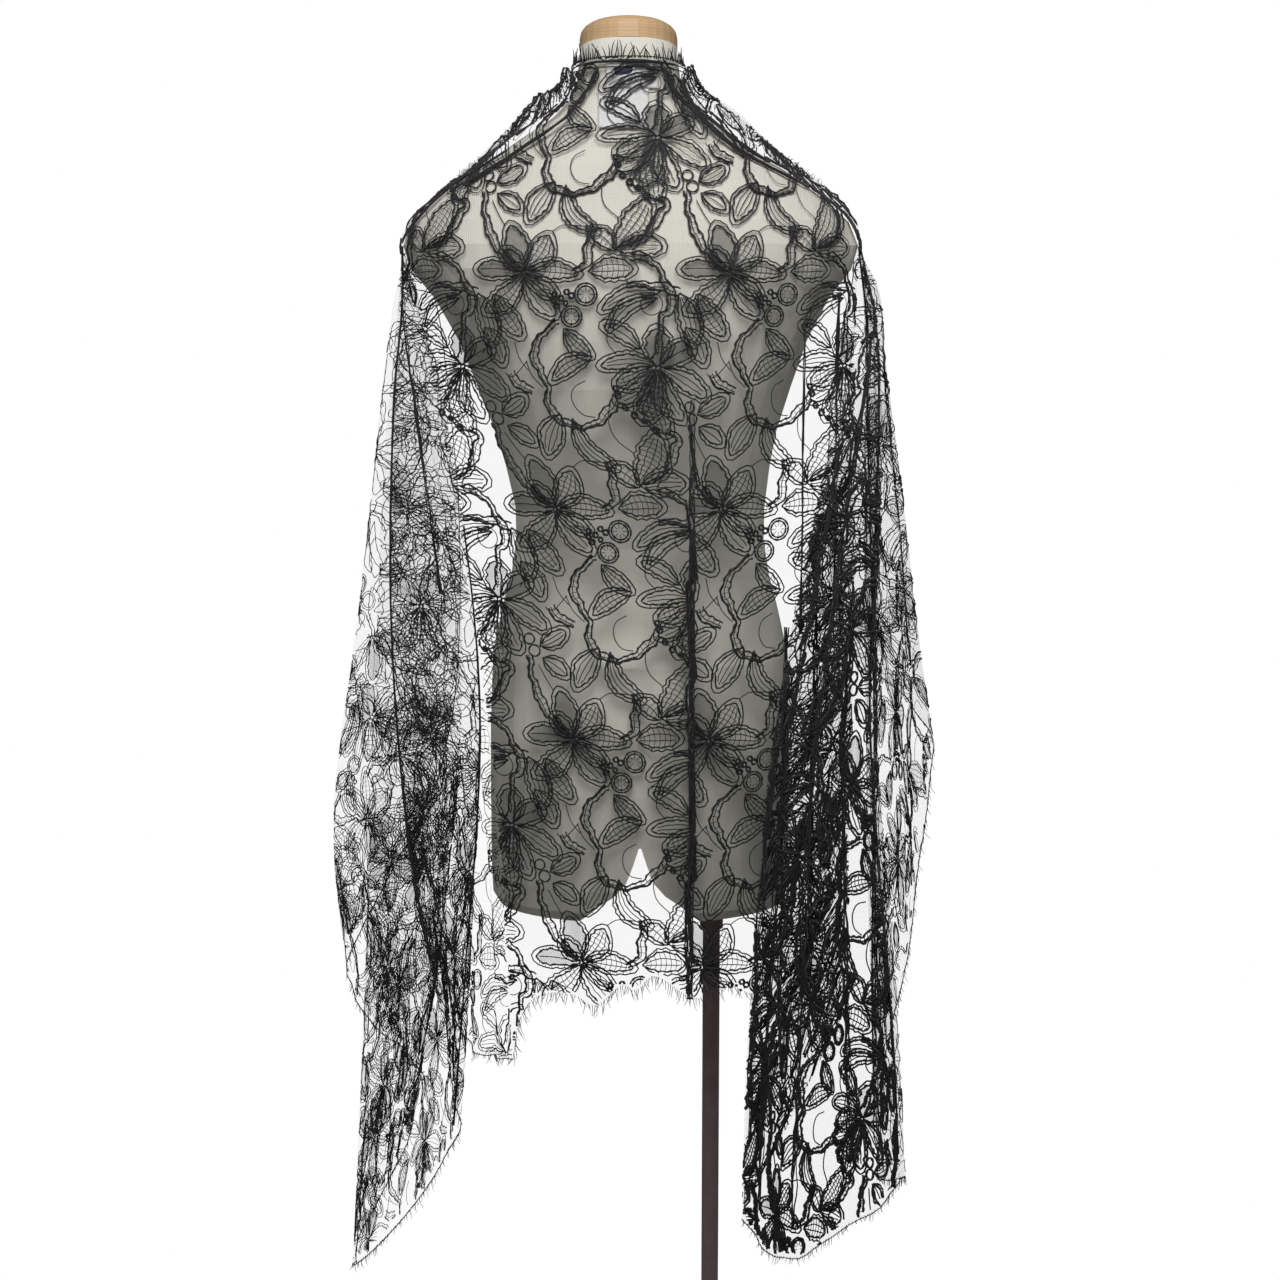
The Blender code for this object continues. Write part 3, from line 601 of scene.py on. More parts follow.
def grid_normals(points):
    along = np.gradient(points, axis=1)
    down = np.gradient(points, axis=0)
    normals = np.cross(down, along)
    return normals / np.maximum(np.linalg.norm(normals, axis=2, keepdims=True), 1e-12)


class Stretch:
    """One stretch of the cloth: its surface on levels and columns, and where each lies on the chart.

    levels rise row by row, keys rise along each row, and spot_keys turns places on the cloth,
    across and down in metres, into a level and a key.
    """

    def __init__(self, points, levels, keys, inside, spot_keys, area):
        self.points = points
        self.normals = grid_normals(points)
        self.levels = np.asarray(levels)
        self.keys = keys
        self.inside = inside
        self.spot_keys = spot_keys
        self.area = area

    def lay(self, spots):
        """Places, normals and a mask of those on the cloth, for spots across and down."""
        level, key = self.spot_keys(spots[:, 0], spots[:, 1])
        row = np.searchsorted(self.levels, level) - 1
        good = (row >= 0) & (row < len(self.levels) - 1)
        places = np.zeros((len(spots), 3))
        normals = np.zeros((len(spots), 3))
        columns = np.arange(self.keys.shape[1])
        for j in np.unique(row[good]):
            here = np.nonzero(good & (row == j))[0]
            share = (level[here] - self.levels[j]) / (self.levels[j + 1] - self.levels[j])
            low, high = self.keys[j][0], self.keys[j][-1]
            good[here] &= (key[here] >= low) & (key[here] <= high)
            for k, part in ((j, 1 - share), (j + 1, share)):
                c = np.interp(key[here], self.keys[k], columns)
                c0 = np.minimum(c.astype(int), len(columns) - 2)
                f = (c - c0)[:, None]
                places[here] += part[:, None] * (self.points[k, c0] * (1 - f) + self.points[k, c0 + 1] * f)
                normals[here] += part[:, None] * (self.normals[k, c0] * (1 - f) + self.normals[k, c0 + 1] * f)
                good[here] &= self.inside[k, c0] & self.inside[k, c0 + 1]
        normals /= np.maximum(np.linalg.norm(normals, axis=1, keepdims=True), 1e-12)
        return places, normals, good


class Yarns:
    """Gathers cords as three-sided tubes and fine threads as flat strips, for one mesh."""

    def __init__(self):
        self.points = []
        self.faces = []
        self.count = 0

    def frames(self, places, normals):
        along = np.gradient(places, axis=0)
        along /= np.maximum(np.linalg.norm(along, axis=1, keepdims=True), 1e-12)
        aside = np.cross(along, normals)
        return aside / np.maximum(np.linalg.norm(aside, axis=1, keepdims=True), 1e-12)

    def cord(self, places, normals, radius):
        """Closed three-sided tube that lies on the cloth, pointed where the radius is zero."""
        aside = self.frames(places, normals)
        radius = np.broadcast_to(np.asarray(radius, dtype=float), (len(places),))[:, None]
        corners = np.stack((
            places + aside * radius * 0.87 - normals * radius * 0.5,
            places - aside * radius * 0.87 - normals * radius * 0.5,
            places + normals * radius,
        ), axis=1)
        n, base = len(places), self.count
        self.points.append(corners.reshape(-1, 3))
        self.count += 3 * n
        for k in range(n - 1):
            a, b = base + 3 * k, base + 3 * k + 3
            self.faces += [(a, a + 1, b + 1, b), (a + 1, a + 2, b + 2, b + 1), (a + 2, a, b, b + 2)]
        last = base + 3 * n - 3
        self.faces += [(base + 2, base + 1, base), (last, last + 1, last + 2)]

    def strip(self, places, normals, half_width):
        """Flat fine thread."""
        aside = self.frames(places, normals) * half_width
        n, base = len(places), self.count
        self.points.append(np.stack((places - aside, places + aside), axis=1).reshape(-1, 3))
        self.count += 2 * n
        for k in range(n - 1):
            a, b = base + 2 * k, base + 2 * k + 2
            self.faces.append((a, a + 1, b + 1, b))

    def build(self, name, material):
        return mesh_piece(name, np.concatenate(self.points), self.faces, material)


def mesh_piece(name, points, faces, material, places_on_cloth=None):
    """Object at the origin from points and faces, with the cloth's own places as its UV map."""
    mesh = bpy.data.meshes.new(name)
    mesh.from_pydata([tuple(p) for p in points], [], faces)
    if places_on_cloth is not None:
        layer = mesh.uv_layers.new(name="cloth")
        corner = np.zeros(len(mesh.loops), dtype=np.int32)
        mesh.loops.foreach_get("vertex_index", corner)
        layer.data.foreach_set("uv", np.asarray(places_on_cloth)[corner].astype(np.float32).ravel())
    mesh.shade_smooth()
    mesh.materials.append(material)
    mesh.update()
    piece = bpy.data.objects.new(name, mesh)
    bpy.context.scene.collection.objects.link(piece)
    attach(piece, "root")
    return piece


def grid_piece(name, points, places_on_cloth, material):
    """Single thin sheet through a grid of points."""
    rows, columns = points.shape[:2]
    faces = []
    for j in range(rows - 1):
        for i in range(columns - 1):
            a = j * columns + i
            faces.append((a, a + columns, a + columns + 1, a + 1))
    return mesh_piece(name, points.reshape(-1, 3), faces, material, places_on_cloth.reshape(-1, 2))


def row_between(place, places, rows):
    """Row of three values at a place that lies between the places of two rows."""
    return np.array([np.interp(place, places, rows[:, k]) for k in range(3)])


def reach_along(points):
    """Distance along a line of points, from its start."""
    return np.concatenate(([0.0], np.cumsum(np.linalg.norm(np.diff(points, axis=0), axis=1))))


# Chart of the lace: every line in millimetres

def smooth_path(knots, step):
    """Points about a step apart on a smooth line through the knots."""
    points = [Vector((x, y, 0)) for x, y in knots]
    fine = np.array([tuple(p)[:2] for p in curve_through(points, (0, 0.2, 0.4, 0.6, 0.8))])
    reach = reach_along(fine)
    count = max(2, int(round(reach[-1] / step)) + 1)
    places = np.linspace(0, reach[-1], count)
    return np.stack((np.interp(places, reach, fine[:, 0]), np.interp(places, reach, fine[:, 1])), axis=1)


def aside_of(line):
    along = np.gradient(line, axis=0)
    along /= np.maximum(np.linalg.norm(along, axis=1, keepdims=True), 1e-9)
    return np.stack((-along[:, 1], along[:, 0]), axis=1)


def petal_lines(petal, chart):
    """Outlines, lengthwise veins, rungs and filling of one petal."""
    turn = math.radians(petal.heading)
    ahead = np.array((math.cos(turn), math.sin(turn)))
    across = np.array((-ahead[1], ahead[0]))
    foot = np.array((petal.x, petal.y), dtype=float)
    widest = 1.0 + 0.45 * petal.blunt
    fullness = 0.85 - 0.40 * petal.blunt
    ruffles = 2 * math.pi * petal.length / RUFFLE_LENGTH

    def half(t):
        t = np.clip(np.asarray(t, dtype=float), 0, 1)
        full = np.sin(np.pi * t**widest) ** fullness
        ruffle = np.sin(ruffles * t + petal.heading) + 0.5 * np.sin(0.37 * ruffles * t + petal.x)
        return petal.width / 2 * full * (1 + (0.06 + 0.09 * petal.blunt) * ruffle)

    def middle(t):
        t = np.asarray(t, dtype=float)[:, None]
        return foot + ahead * petal.length * t + across * petal.bend * np.sin(np.pi * t)

    count = max(9, int(petal.length / CHART_STEP))
    t = 0.5 - 0.5 * np.cos(np.pi * np.linspace(0, 1, count))
    t = 0.5 * (t + np.linspace(0, 1, count))
    side = half(t)[:, None] * across
    chart["cords"].append(np.concatenate((middle(t) + side, (middle(t) - side)[::-1][1:])))
    outer_t = np.linspace(0.06, 0.985, max(8, int(petal.length / OUTER_STEP)))
    spread = OUTLINE_GAP * np.minimum(1.0, (outer_t - 0.02) * 5)
    outer = (half(outer_t) + spread)[:, None] * across
    reach = ahead * OUTLINE_GAP * np.clip((outer_t - 0.75) / 0.25, 0, 1)[:, None]
    left = middle(outer_t) + outer + reach
    right = middle(outer_t) - outer + reach
    tip = foot + ahead * (petal.length + OUTLINE_GAP * 1.5)
    chart["outer"].append(np.concatenate((left, tip[None, :], right[::-1])))
    for k in range(petal.veins):
        f = (k + 1) / (petal.veins + 1) * 2 - 1
        v = np.linspace(0.08, 0.92 - 0.10 * abs(f), max(5, int(petal.length / FINE_STEP)))
        chart["veins"].append(middle(v) + (half(v) * f)[:, None] * across)
    if petal.filling == "rungs":
        for v in np.arange(0.16, 0.92, RUNG_STEP / petal.length):
            f = np.linspace(-1, 1, 4)
            bow = np.full(4, v) + 0.05 * (1 - f * f)
            chart["fine"].append(middle(bow) + (half(bow) * f)[:, None] * across)
    for v in np.arange(0.2, 0.95, RUNG_STEP * 1.3 / petal.length):
        for f in (-1, 1):
            start = middle([v])[0] + half(v) * f * across
            chart["fine"].append(np.array((start, start + across * f * OUTLINE_GAP)))
    if petal.filling == "dark":
        chart["patches"].append((middle(t) + side, middle(t) - side))


def stem_lines(knots, chart):
    """Two cords with rungs between them."""
    middle = smooth_path(knots, CHART_STEP)
    aside = aside_of(middle)
    places = np.arange(len(middle))
    swell = STEM_HALF + STEM_SWELL * np.sin(places * 0.31 + knots[0][0])[:, None]
    wave = 0.55 * np.sin(places * 1.9)[:, None]
    middle = middle + aside * 0.8 * np.sin(places * 0.9 + knots[0][1])[:, None]
    left = middle + aside * (swell + wave)
    right = middle - aside * (swell - wave)
    chart["thick"].append(left)
    chart["cords"].append(right)
    for k in range(1, len(middle) - 1, 2):
        chart["fine"].append(np.array((left[k], right[k])))
    chart["veins"].append((middle + aside * 0.8)[::2])


def ring_lines(spot, chart):
    for radius in (spot.radius, spot.radius + 2.2) if spot.double else (spot.radius,):
        turns = np.linspace(0, 2 * math.pi, max(6, int(2 * math.pi * radius / CHART_STEP)) + 1)
        line = np.stack((spot.x + radius * np.cos(turns), spot.y + radius * np.sin(turns)), axis=1)
        kind = "thick" if spot.radius < 3 else "cords" if spot.radius < 8 else "veins"
        chart[kind].append(line)
    if spot.double:
        for turn in np.linspace(0, 2 * math.pi, 9)[:-1]:
            out = np.array((math.cos(turn), math.sin(turn)))
            eye = np.array((spot.x, spot.y), dtype=float)
            chart["fine"].append(np.array((eye + out * spot.radius * 0.35, eye + out * (spot.radius + 2.0))))


def empty_chart():
    return {"cords": [], "thick": [], "outer": [], "veins": [], "fine": [], "patches": []}


def lace_chart():
    """One repeat of the lace, as lists of lines for each kind of yarn."""
    flowers, leaves = empty_chart(), empty_chart()
    for petal in FLOWER + FAN:
        petal_lines(petal, flowers)
    for petal in LEAVES:
        petal_lines(petal, leaves)
    for knots in STEMS:
        stem_lines(knots, leaves)
    for knots in THREADS:
        leaves["veins"].append(smooth_path(knots, FINE_STEP))
    for spot in RINGS_OF_LACE:
        ring_lines(spot, flowers)
    return flowers, leaves


def runs_of(good):
    """Start and end of each run of spots that lie on the cloth."""
    edges = np.flatnonzero(np.diff(np.concatenate(([0], good.astype(int), [0]))))
    return [(a, b) for a, b in zip(edges[::2], edges[1::2]) if b - a >= 2]


def repeats_over(area, settings):
    """Shifts of the repeat, in metres, that may touch an area given as left, right, top and bottom."""
    left, right, top, bottom = area
    wide, high = settings.repeat_width, settings.repeat_height
    columns = range(
        math.floor((left - FLOWER_ACROSS - CHART_RIGHT) / wide),
        math.ceil((right - FLOWER_ACROSS + CHART_LEFT) / wide) + 1,
    )
    rows = range(
        math.floor((top - FLOWER_DOWN - CHART_BOTTOM) / high),
        math.ceil((bottom - FLOWER_DOWN + CHART_TOP) / high) + 1,
    )
    return [(FLOWER_ACROSS + i * wide, FLOWER_DOWN + j * high) for i in columns for j in rows]


def work_lace(name, stretch, chart, settings, yarn, with_patches=None, weight=1.0):
    """Cords and fine threads of one chart, laid over one stretch of the cloth."""
    yarns = Yarns()
    shifts = repeats_over(stretch.area, settings)
    lift = settings.cord_radius * 0.5
    draws = random.Random(len(name))
    for kind, width in (("cords", settings.cord_radius), ("thick", settings.cord_radius * 1.35),
                        ("outer", settings.outer_width), ("veins", settings.vein_width),
                        ("fine", settings.fine_width)):
        for line in chart[kind]:
            flat = line / 1000
            spots = np.concatenate([flat + np.array(shift) for shift in shifts])
            places, normals, good = stretch.lay(spots)
            knots = 1 + 0.28 * np.sin(np.arange(len(flat)) * 2.3 + draws.uniform(0, TURN))
            for r in range(len(shifts)):
                low = r * len(flat)
                mask = good[low:low + len(flat)]
                if not mask.any():
                    continue
                for a, b in runs_of(mask):
                    p, n = places[low + a:low + b], normals[low + a:low + b]
                    if kind in ("cords", "thick"):
                        yarns.cord(p + n * lift, n, width * weight * knots[a:b])
                    else:
                        yarns.strip(p + n * lift * 0.4, n, width * weight)
    if with_patches is not None:
        fill_patches(with_patches, stretch, chart, shifts)
    return yarns.build(name, yarn)


def fill_patches(patches, stretch, chart, shifts):
    """Closely worked net of the shaded petals, as strips between their two sides."""
    for left, right in chart["patches"]:
        ladder = np.stack([left * (1 - f) + right * f for f in (0.0, 0.33, 0.67, 1.0)], axis=1) / 1000
        rows = len(left)
        for shift in shifts:
            spots = ladder.reshape(-1, 2) + np.array(shift)
            places, normals, good = stretch.lay(spots)
            if not good.all():
                continue
            base = patches["count"]
            patches["points"].append(places + normals * PATCH_LIFT)
            patches["places"].append(spots)
            patches["count"] += len(spots)
            for j in range(rows - 1):
                for i in range(3):
                    a = base + j * 4 + i
                    patches["faces"].append((a, a + 4, a + 5, a + 1))


def patches_piece(name, patches, material):
    points = np.concatenate(patches["points"])
    return mesh_piece(name, points, patches["faces"], material, np.concatenate(patches["places"]))


def no_patches():
    return {"points": [], "places": [], "faces": [], "count": 0}


def add_lashes(yarns, points, normals, outward, length, seed, spacing=0.0021, weight=1.3):
    """Loose thread ends along a raw edge, uneven in length and lean."""
    draws = random.Random(seed)
    reach = reach_along(points)
    place = 0.0
    while place < reach[-1]:
        p, n, o = (row_between(place, reach, rows) for rows in (points, normals, outward))
        o /= max(np.linalg.norm(o), 1e-9)
        side = np.cross(o, n)
        lean, curl = draws.uniform(-0.45, 0.45), draws.uniform(-0.35, 0.35)
        long = length * draws.uniform(0.45, 1.15)
        t = np.linspace(0, 1, 4)[:, None]
        sway = side * long * (lean * t + curl * t * t)
        line = p + o * long * t + sway + n * long * LASH_LIFT * draws.uniform(-1, 1) * t * t
        line = line - o * LASH_ROOT
        yarns.cord(line, np.broadcast_to(n, line.shape), weight * LASH_RADII)
        place += spacing * draws.uniform(0.5, 1.5)


def add_gathers(yarns, line, normals, aside, spread, count, seed, radius):
    """Dark threads crowded along a crease, wandering to either side of it."""
    draws = random.Random(seed)
    places = np.linspace(0, 1, len(line))
    reach = np.linalg.norm(np.diff(line, axis=0), axis=1).sum()
    for _k in range(count):
        wander = np.zeros(len(line))
        for waves in (3, 9, 26):
            turns = waves * reach * 6.0 * places * draws.uniform(0.7, 1.3)
            wander += np.sin(turns + draws.uniform(0, TURN)) / waves**0.35
        offset = aside * (spread * 0.55 * wander)[:, None]
        thick = radius * (1 + 0.35 * np.sin(40 * reach * places + draws.uniform(0, TURN)))
        yarns.cord(line + offset + normals * draws.uniform(0.0003, 0.0012), normals, thick)


def crease_line(points, normals, at, first=0.0, last=1.0):
    """Points, normals and sideways directions down a grid at one column, which may lie between two."""
    rows = len(points)
    picked = slice(int(first * (rows - 1)), int(last * (rows - 1)) + 1)
    column_at = min(int(at), points.shape[1] - 2)
    share = at - column_at
    line = points[picked, column_at] * (1 - share) + points[picked, column_at + 1] * share
    facing = normals[picked, column_at]
    aside = points[picked, min(column_at + 2, points.shape[1] - 1)] - points[picked, max(column_at - 2, 0)]
    aside /= np.maximum(np.linalg.norm(aside, axis=1, keepdims=True), 1e-9)
    return line, facing, aside


def path_line(points, normals, path):
    """Points, normals and sideways directions down a grid, through given heights and places across."""
    heights, places = [z for z, _x in path], [x for _z, x in path]
    line, facing, aside = [], [], []
    columns = np.arange(points.shape[1])
    middle = points.shape[1] // 2
    for j in range(len(points)):
        z = points[j, middle, 2]
        if not heights[-1] <= z <= heights[0]:
            continue
        place = np.interp(smooth_at(heights, places, z) + FORM_X, points[j, :, 0], columns)
        place = min(max(place, 1.0), len(columns) - 2.0)
        line.append(row_between(place, columns, points[j]))
        facing.append(row_between(place, columns, normals[j]))
        aside.append(points[j, int(place) + 1] - points[j, int(place)])
    aside = np.array(aside)
    aside /= np.maximum(np.linalg.norm(aside, axis=1, keepdims=True), 1e-9)
    return np.array(line), np.array(facing), aside


# The cloth's stretches

def down_the_middle(levels):
    """Distance down the cloth from its top edge, along the back's middle, at each height."""
    points = [back_place(math.pi / 2, z) for z in levels]
    steps = [0.0] + [(b - a).length for a, b in zip(points, points[1:])]
    return np.cumsum(steps)


def arcs_from(points, x_zero):
    """Distance along each row from where its X is x_zero."""
    steps = np.linalg.norm(np.diff(points, axis=1), axis=2)
    arcs = np.concatenate((np.zeros((len(points), 1)), np.cumsum(steps, axis=1)), axis=1)
    zero = np.array([np.interp(x_zero, points[j, :, 0], arcs[j]) for j in range(len(points))])
    return arcs - zero[:, None]


def take_at(z, name):
    return smooth_at(column(TAKES, "z"), column(TAKES, name), z)


def down_then_across(u, v):
    """Level and key of a spot where the chart lies straight."""
    return v, u


def round_the_tip(tip_place, side):
    """Function that gives a spot's level and key as its distance from a shoulder tip and its turn."""
    def spot_keys(u, v):
        across, down = side * (u - tip_place[0]), v - tip_place[1]
        return np.hypot(across, down), np.arctan2(across, down)

    return spot_keys


def make_back_stretch():
    angles = [math.pi * k / BACK_COLUMNS for k in range(BACK_COLUMNS + 1)]
    points = grid_array([[back_place(a, z) for a in angles] for z in BACK_LEVELS])
    across = arcs_from(points, MIDDLE_X + FORM_X) + MIDDLE_ACROSS
    lefts = np.array([take_at(z, "left") for z in BACK_LEVELS])[:, None]
    rights = np.array([take_at(z, "right") for z in BACK_LEVELS])[:, None]
    across = np.where(points[:, :, 0] > TUCK_X + FORM_X, across + rights, across - lefts)
    hems = np.array([hem_height(a) for a in angles])
    inside = points[:, :, 2] >= hems[None, :] - 0.001
    down = down_the_middle(BACK_LEVELS)
    area = (across.min(), across.max(), 0.0, down[-1])
    return Stretch(points, down, across, inside, down_then_across, area)


def tip_spot(stretch, side):
    """Place on the chart of the shoulder tip at one side."""
    row = UPPER_ROWS - 1
    return stretch.keys[row, 0 if side < 0 else -1], stretch.levels[row]


def make_shoulder_stretch(table, side, back):
    """Stretch from the shoulder ridge forward to the standing edge."""
    places = column(table, "ridge_z")
    ridge_angle = 0.0 if side < 0 else math.pi
    grid = []
    for z in BACK_LEVELS[:UPPER_ROWS]:
        ridge = off_point(ridge_angle, z, cloth_gap(z))
        edge = Vector([smooth_at(places, column(table, name), z) for name in ("edge_x", "edge_y", "edge_z")])
        height = (z - SHOULDER_TIP_Z) / (TOP_EDGE_Z - SHOULDER_TIP_Z)
        line = []
        for share in np.linspace(0, 1, SHOULDER_COLUMNS):
            swell = SHOULDER_SWELL * math.sin(math.pi * share) * height
            wave = math.sin(FLUTTER_WAVES * (z + 0.3 * share)) * math.sin(math.pi * height)
            flutter = FLUTTER * share * wave
            line.append(ridge.lerp(edge, share) + Vector((side * (swell + flutter), 0, swell + flutter)))
        grid.append(line)
    points = grid_array(grid)
    steps = np.linalg.norm(np.diff(points, axis=1), axis=2)
    arcs = np.concatenate((np.zeros((UPPER_ROWS, 1)), np.cumsum(steps, axis=1)), axis=1)
    ridge_across = back.keys[:UPPER_ROWS, 0 if side < 0 else -1][:, None]
    keys = ridge_across + side * arcs
    if side < 0:
        keys, points = keys[:, ::-1], points[:, ::-1]
    inside = np.ones(keys.shape, dtype=bool)
    levels = back.levels[:UPPER_ROWS]
    area = (keys.min(), keys.max(), 0.0, levels[-1])
    return Stretch(points, levels, keys, inside, down_then_across, area)


def fold_lines(folds, side, tip):
    """Points of each fold at shares of the way from the tip to the hem."""
    lines = []
    for fold in folds:
        xs = [tip.x + side * 0.001, fold.x08, fold.x20, fold.x50, fold.x80, fold.x_hem]
        ys = [fold.top_y, fold.y08, fold.y20, fold.hang_y, fold.hang_y, fold.hang_y]
        line = []
        for share in END_SHARES:
            z = SHOULDER_TIP_Z + (fold.hem_z - SHOULDER_TIP_Z) * share
            line.append(Vector((smooth_at(FOLD_SHARES, xs, share), smooth_at(FOLD_SHARES, ys, share), z)))
        lines.append(line)
    return lines


def seam_line(angle):
    hem = hem_height(angle)
    return [section_point(angle, SHOULDER_TIP_Z + (hem - SHOULDER_TIP_Z) * share) for share in END_SHARES]


def make_end_stretch(lines, side, tip_place, first_turn, last_turn, depth):
    """Pleated end that fans out of the shoulder tip; a spot's key is its turn round the tip."""
    rows = len(END_SHARES)
    grid = [curve_through([line[j] for line in lines], PANEL_STEPS) for j in range(rows)]
    points = grid_array(grid)
    normals = grid_normals(points)
    f = np.linspace(0, len(lines) - 1, points.shape[1])[None, :]
    share = END_SHARES[:, None]
    size = depth * np.clip(share / 0.25, 0, 1) * np.clip(f * 3, 0, 1)
    broad = np.sin(2 * np.pi * 1.7 * f + 2.2 * share)
    narrow = 0.45 * np.sin(2 * np.pi * 3.3 * f - 3.0 * share + 1)
    ripple = size * (broad + narrow)
    points = points + normals * ripple[:, :, None]
    middle = rows // 2
    arcs = reach_along(points[middle])
    turns = first_turn + (last_turn - first_turn) * arcs / arcs[-1]
    reach = SHOULDER_TIP_Z - points[-1, :, 2]
    levels = np.linspace(0.002, reach.max(), END_LEVELS)
    place = levels[:, None] / reach[None, :]
    laid = np.zeros((len(levels), points.shape[1], 3))
    for c in range(points.shape[1]):
        for k in range(3):
            laid[:, c, k] = np.interp(place[:, c], END_SHARES, points[:, c, k])
    keys = np.array(np.broadcast_to(turns, place.shape))
    far = reach.max()
    left, right = (0.02, far) if side > 0 else (far, 0.02)
    area = (tip_place[0] - left, tip_place[0] + right, tip_place[1] - 0.25 * far, tip_place[1] + far)
    stretch = Stretch(laid, levels, keys, place <= 1.0, round_the_tip(tip_place, side), area)
    return stretch, points, turns, reach


def end_places(turns, reach, side, tip_place):
    """Place on the cloth of each point of an end's net."""
    r = END_SHARES[:, None] * reach[None, :]
    u = tip_place[0] + side * r * np.sin(turns)[None, :]
    v = tip_place[1] + r * np.cos(turns)[None, :]
    return np.stack((u, v), axis=2)


# Finishes

def new_group(name, inputs, outputs):
    group = bpy.data.node_groups.new(name, "ShaderNodeTree")
    for label, kind, value in inputs:
        socket = group.interface.new_socket(label, in_out="INPUT", socket_type=kind)
        if value is not None:
            socket.default_value = value
    for label, kind in outputs:
        group.interface.new_socket(label, in_out="OUTPUT", socket_type=kind)
    start = group.nodes.new("NodeGroupInput")
    end = group.nodes.new("NodeGroupOutput")
    return group, start, end


def math_node(tree, operation, a, b=None, clamp=False):
    node = tree.nodes.new("ShaderNodeMath")
    node.operation = operation
    node.use_clamp = clamp
    for socket, value in zip(node.inputs, (a, b)):
        if value is None:
            continue
        if isinstance(value, (int, float)):
            socket.default_value = value
        else:
            tree.links.new(value, socket)
    return node.outputs[0]


def mesh_group():
    """Mask of a fine mesh of crossing threads, from places in threads across and down."""
    name = "fine_mesh"
    if name in bpy.data.node_groups:
        return bpy.data.node_groups[name]
    group, start, end = new_group(
        name,
        (("Place", "NodeSocketVector", None), ("Mesh", "NodeSocketFloat", 1000.0),
         ("Thread", "NodeSocketFloat", 0.2)),
        (("Mask", "NodeSocketFloat"),),
    )
    split = group.nodes.new("ShaderNodeSeparateXYZ")
    group.links.new(start.outputs["Place"], split.inputs[0])
    across = math_node(group, "MULTIPLY", split.outputs[0], start.outputs["Mesh"])
    down = math_node(group, "MULTIPLY", split.outputs[1], start.outputs["Mesh"])
    lines = []
    for sign in (1, -1):
        slanted = math_node(group, "MULTIPLY", across, sign * 0.9)
        whole = math_node(group, "ADD", slanted, math_node(group, "MULTIPLY", down, 0.55))
        wave = math_node(group, "PINGPONG", whole, 0.5)
        edge = math_node(group, "SUBTRACT", start.outputs["Thread"], wave)
        lines.append(math_node(group, "MULTIPLY", edge, 9.0, clamp=True))
    both = math_node(group, "MAXIMUM", lines[0], lines[1])
    group.links.new(both, end.inputs["Mask"])
    return group


def uneven_group():
    """Slow light and dark cloudiness of a surface, about a middle of one."""
    name = "soft_clouds"
    if name in bpy.data.node_groups:
        return bpy.data.node_groups[name]
    group, start, end = new_group(
        name,
        (("Place", "NodeSocketVector", None), ("Scale", "NodeSocketFloat", 40.0),
         ("Amount", "NodeSocketFloat", 0.2), ("Colour", "NodeSocketColor", (0.5, 0.5, 0.5, 1.0))),
        (("Colour", "NodeSocketColor"), ("Value", "NodeSocketFloat")),
    )
    noise = group.nodes.new("ShaderNodeTexNoise")
    noise.inputs["Detail"].default_value = 4.0
    group.links.new(start.outputs["Place"], noise.inputs["Vector"])
    group.links.new(start.outputs["Scale"], noise.inputs["Scale"])
    centred = math_node(group, "SUBTRACT", noise.outputs["Fac"], 0.5)
    spread = math_node(group, "MULTIPLY", centred, start.outputs["Amount"])
    value = math_node(group, "ADD", math_node(group, "MULTIPLY", spread, 2.0), 1.0)
    scaled = group.nodes.new("ShaderNodeVectorMath")
    scaled.operation = "SCALE"
    group.links.new(start.outputs["Colour"], scaled.inputs[0])
    group.links.new(value, scaled.inputs["Scale"])
    group.links.new(scaled.outputs[0], end.inputs["Colour"])
    group.links.new(value, end.inputs["Value"])
    return group


def new_finish(name, colour, roughness):
    material = bpy.data.materials.new(name)
    material.use_nodes = True
    material.diffuse_color = (*colour[:3], 1.0)
    shader = material.node_tree.nodes["Principled BSDF"]
    shader.inputs["Base Color"].default_value = (*colour[:3], 1.0)
    shader.inputs["Roughness"].default_value = roughness
    return material, material.node_tree, shader


def place_group(tree, group, **values):
    node = tree.nodes.new("ShaderNodeGroup")
    node.node_tree = group
    for label, value in values.items():
        node.inputs[label].default_value = value
    return node


def cloudy_colour(tree, shader, place, colour, scale, amount):
    clouds = place_group(tree, uneven_group(), Scale=scale, Amount=amount, Colour=(*colour[:3], 1.0))
    tree.links.new(place, clouds.inputs["Place"])
    tree.links.new(clouds.outputs["Colour"], shader.inputs["Base Color"])
    return clouds


def bump_from(tree, shader, height, distance, strength=1.0):
    bump = tree.nodes.new("ShaderNodeBump")
    bump.inputs["Distance"].default_value = distance
    bump.inputs["Strength"].default_value = strength
    tree.links.new(height, bump.inputs["Height"])
    tree.links.new(bump.outputs["Normal"], shader.inputs["Normal"])


def net_finish(name, settings, thread):
    """Black net whose holes are left clear."""
    material, tree, shader = new_finish(name, settings.thread_colour, 0.75)
    place = tree.nodes.new("ShaderNodeUVMap")
    place.uv_map = "cloth"
    net = place_group(tree, mesh_group(), Mesh=1.0 / settings.net_mesh, Thread=thread)
    tree.links.new(place.outputs["UV"], net.inputs["Place"])
    tree.links.new(net.outputs["Mask"], shader.inputs["Alpha"])
    shader.inputs["Specular IOR Level"].default_value = 0.3
    cloudy_colour(tree, shader, place.outputs["UV"], settings.thread_colour, 30.0, 0.25)
    return material


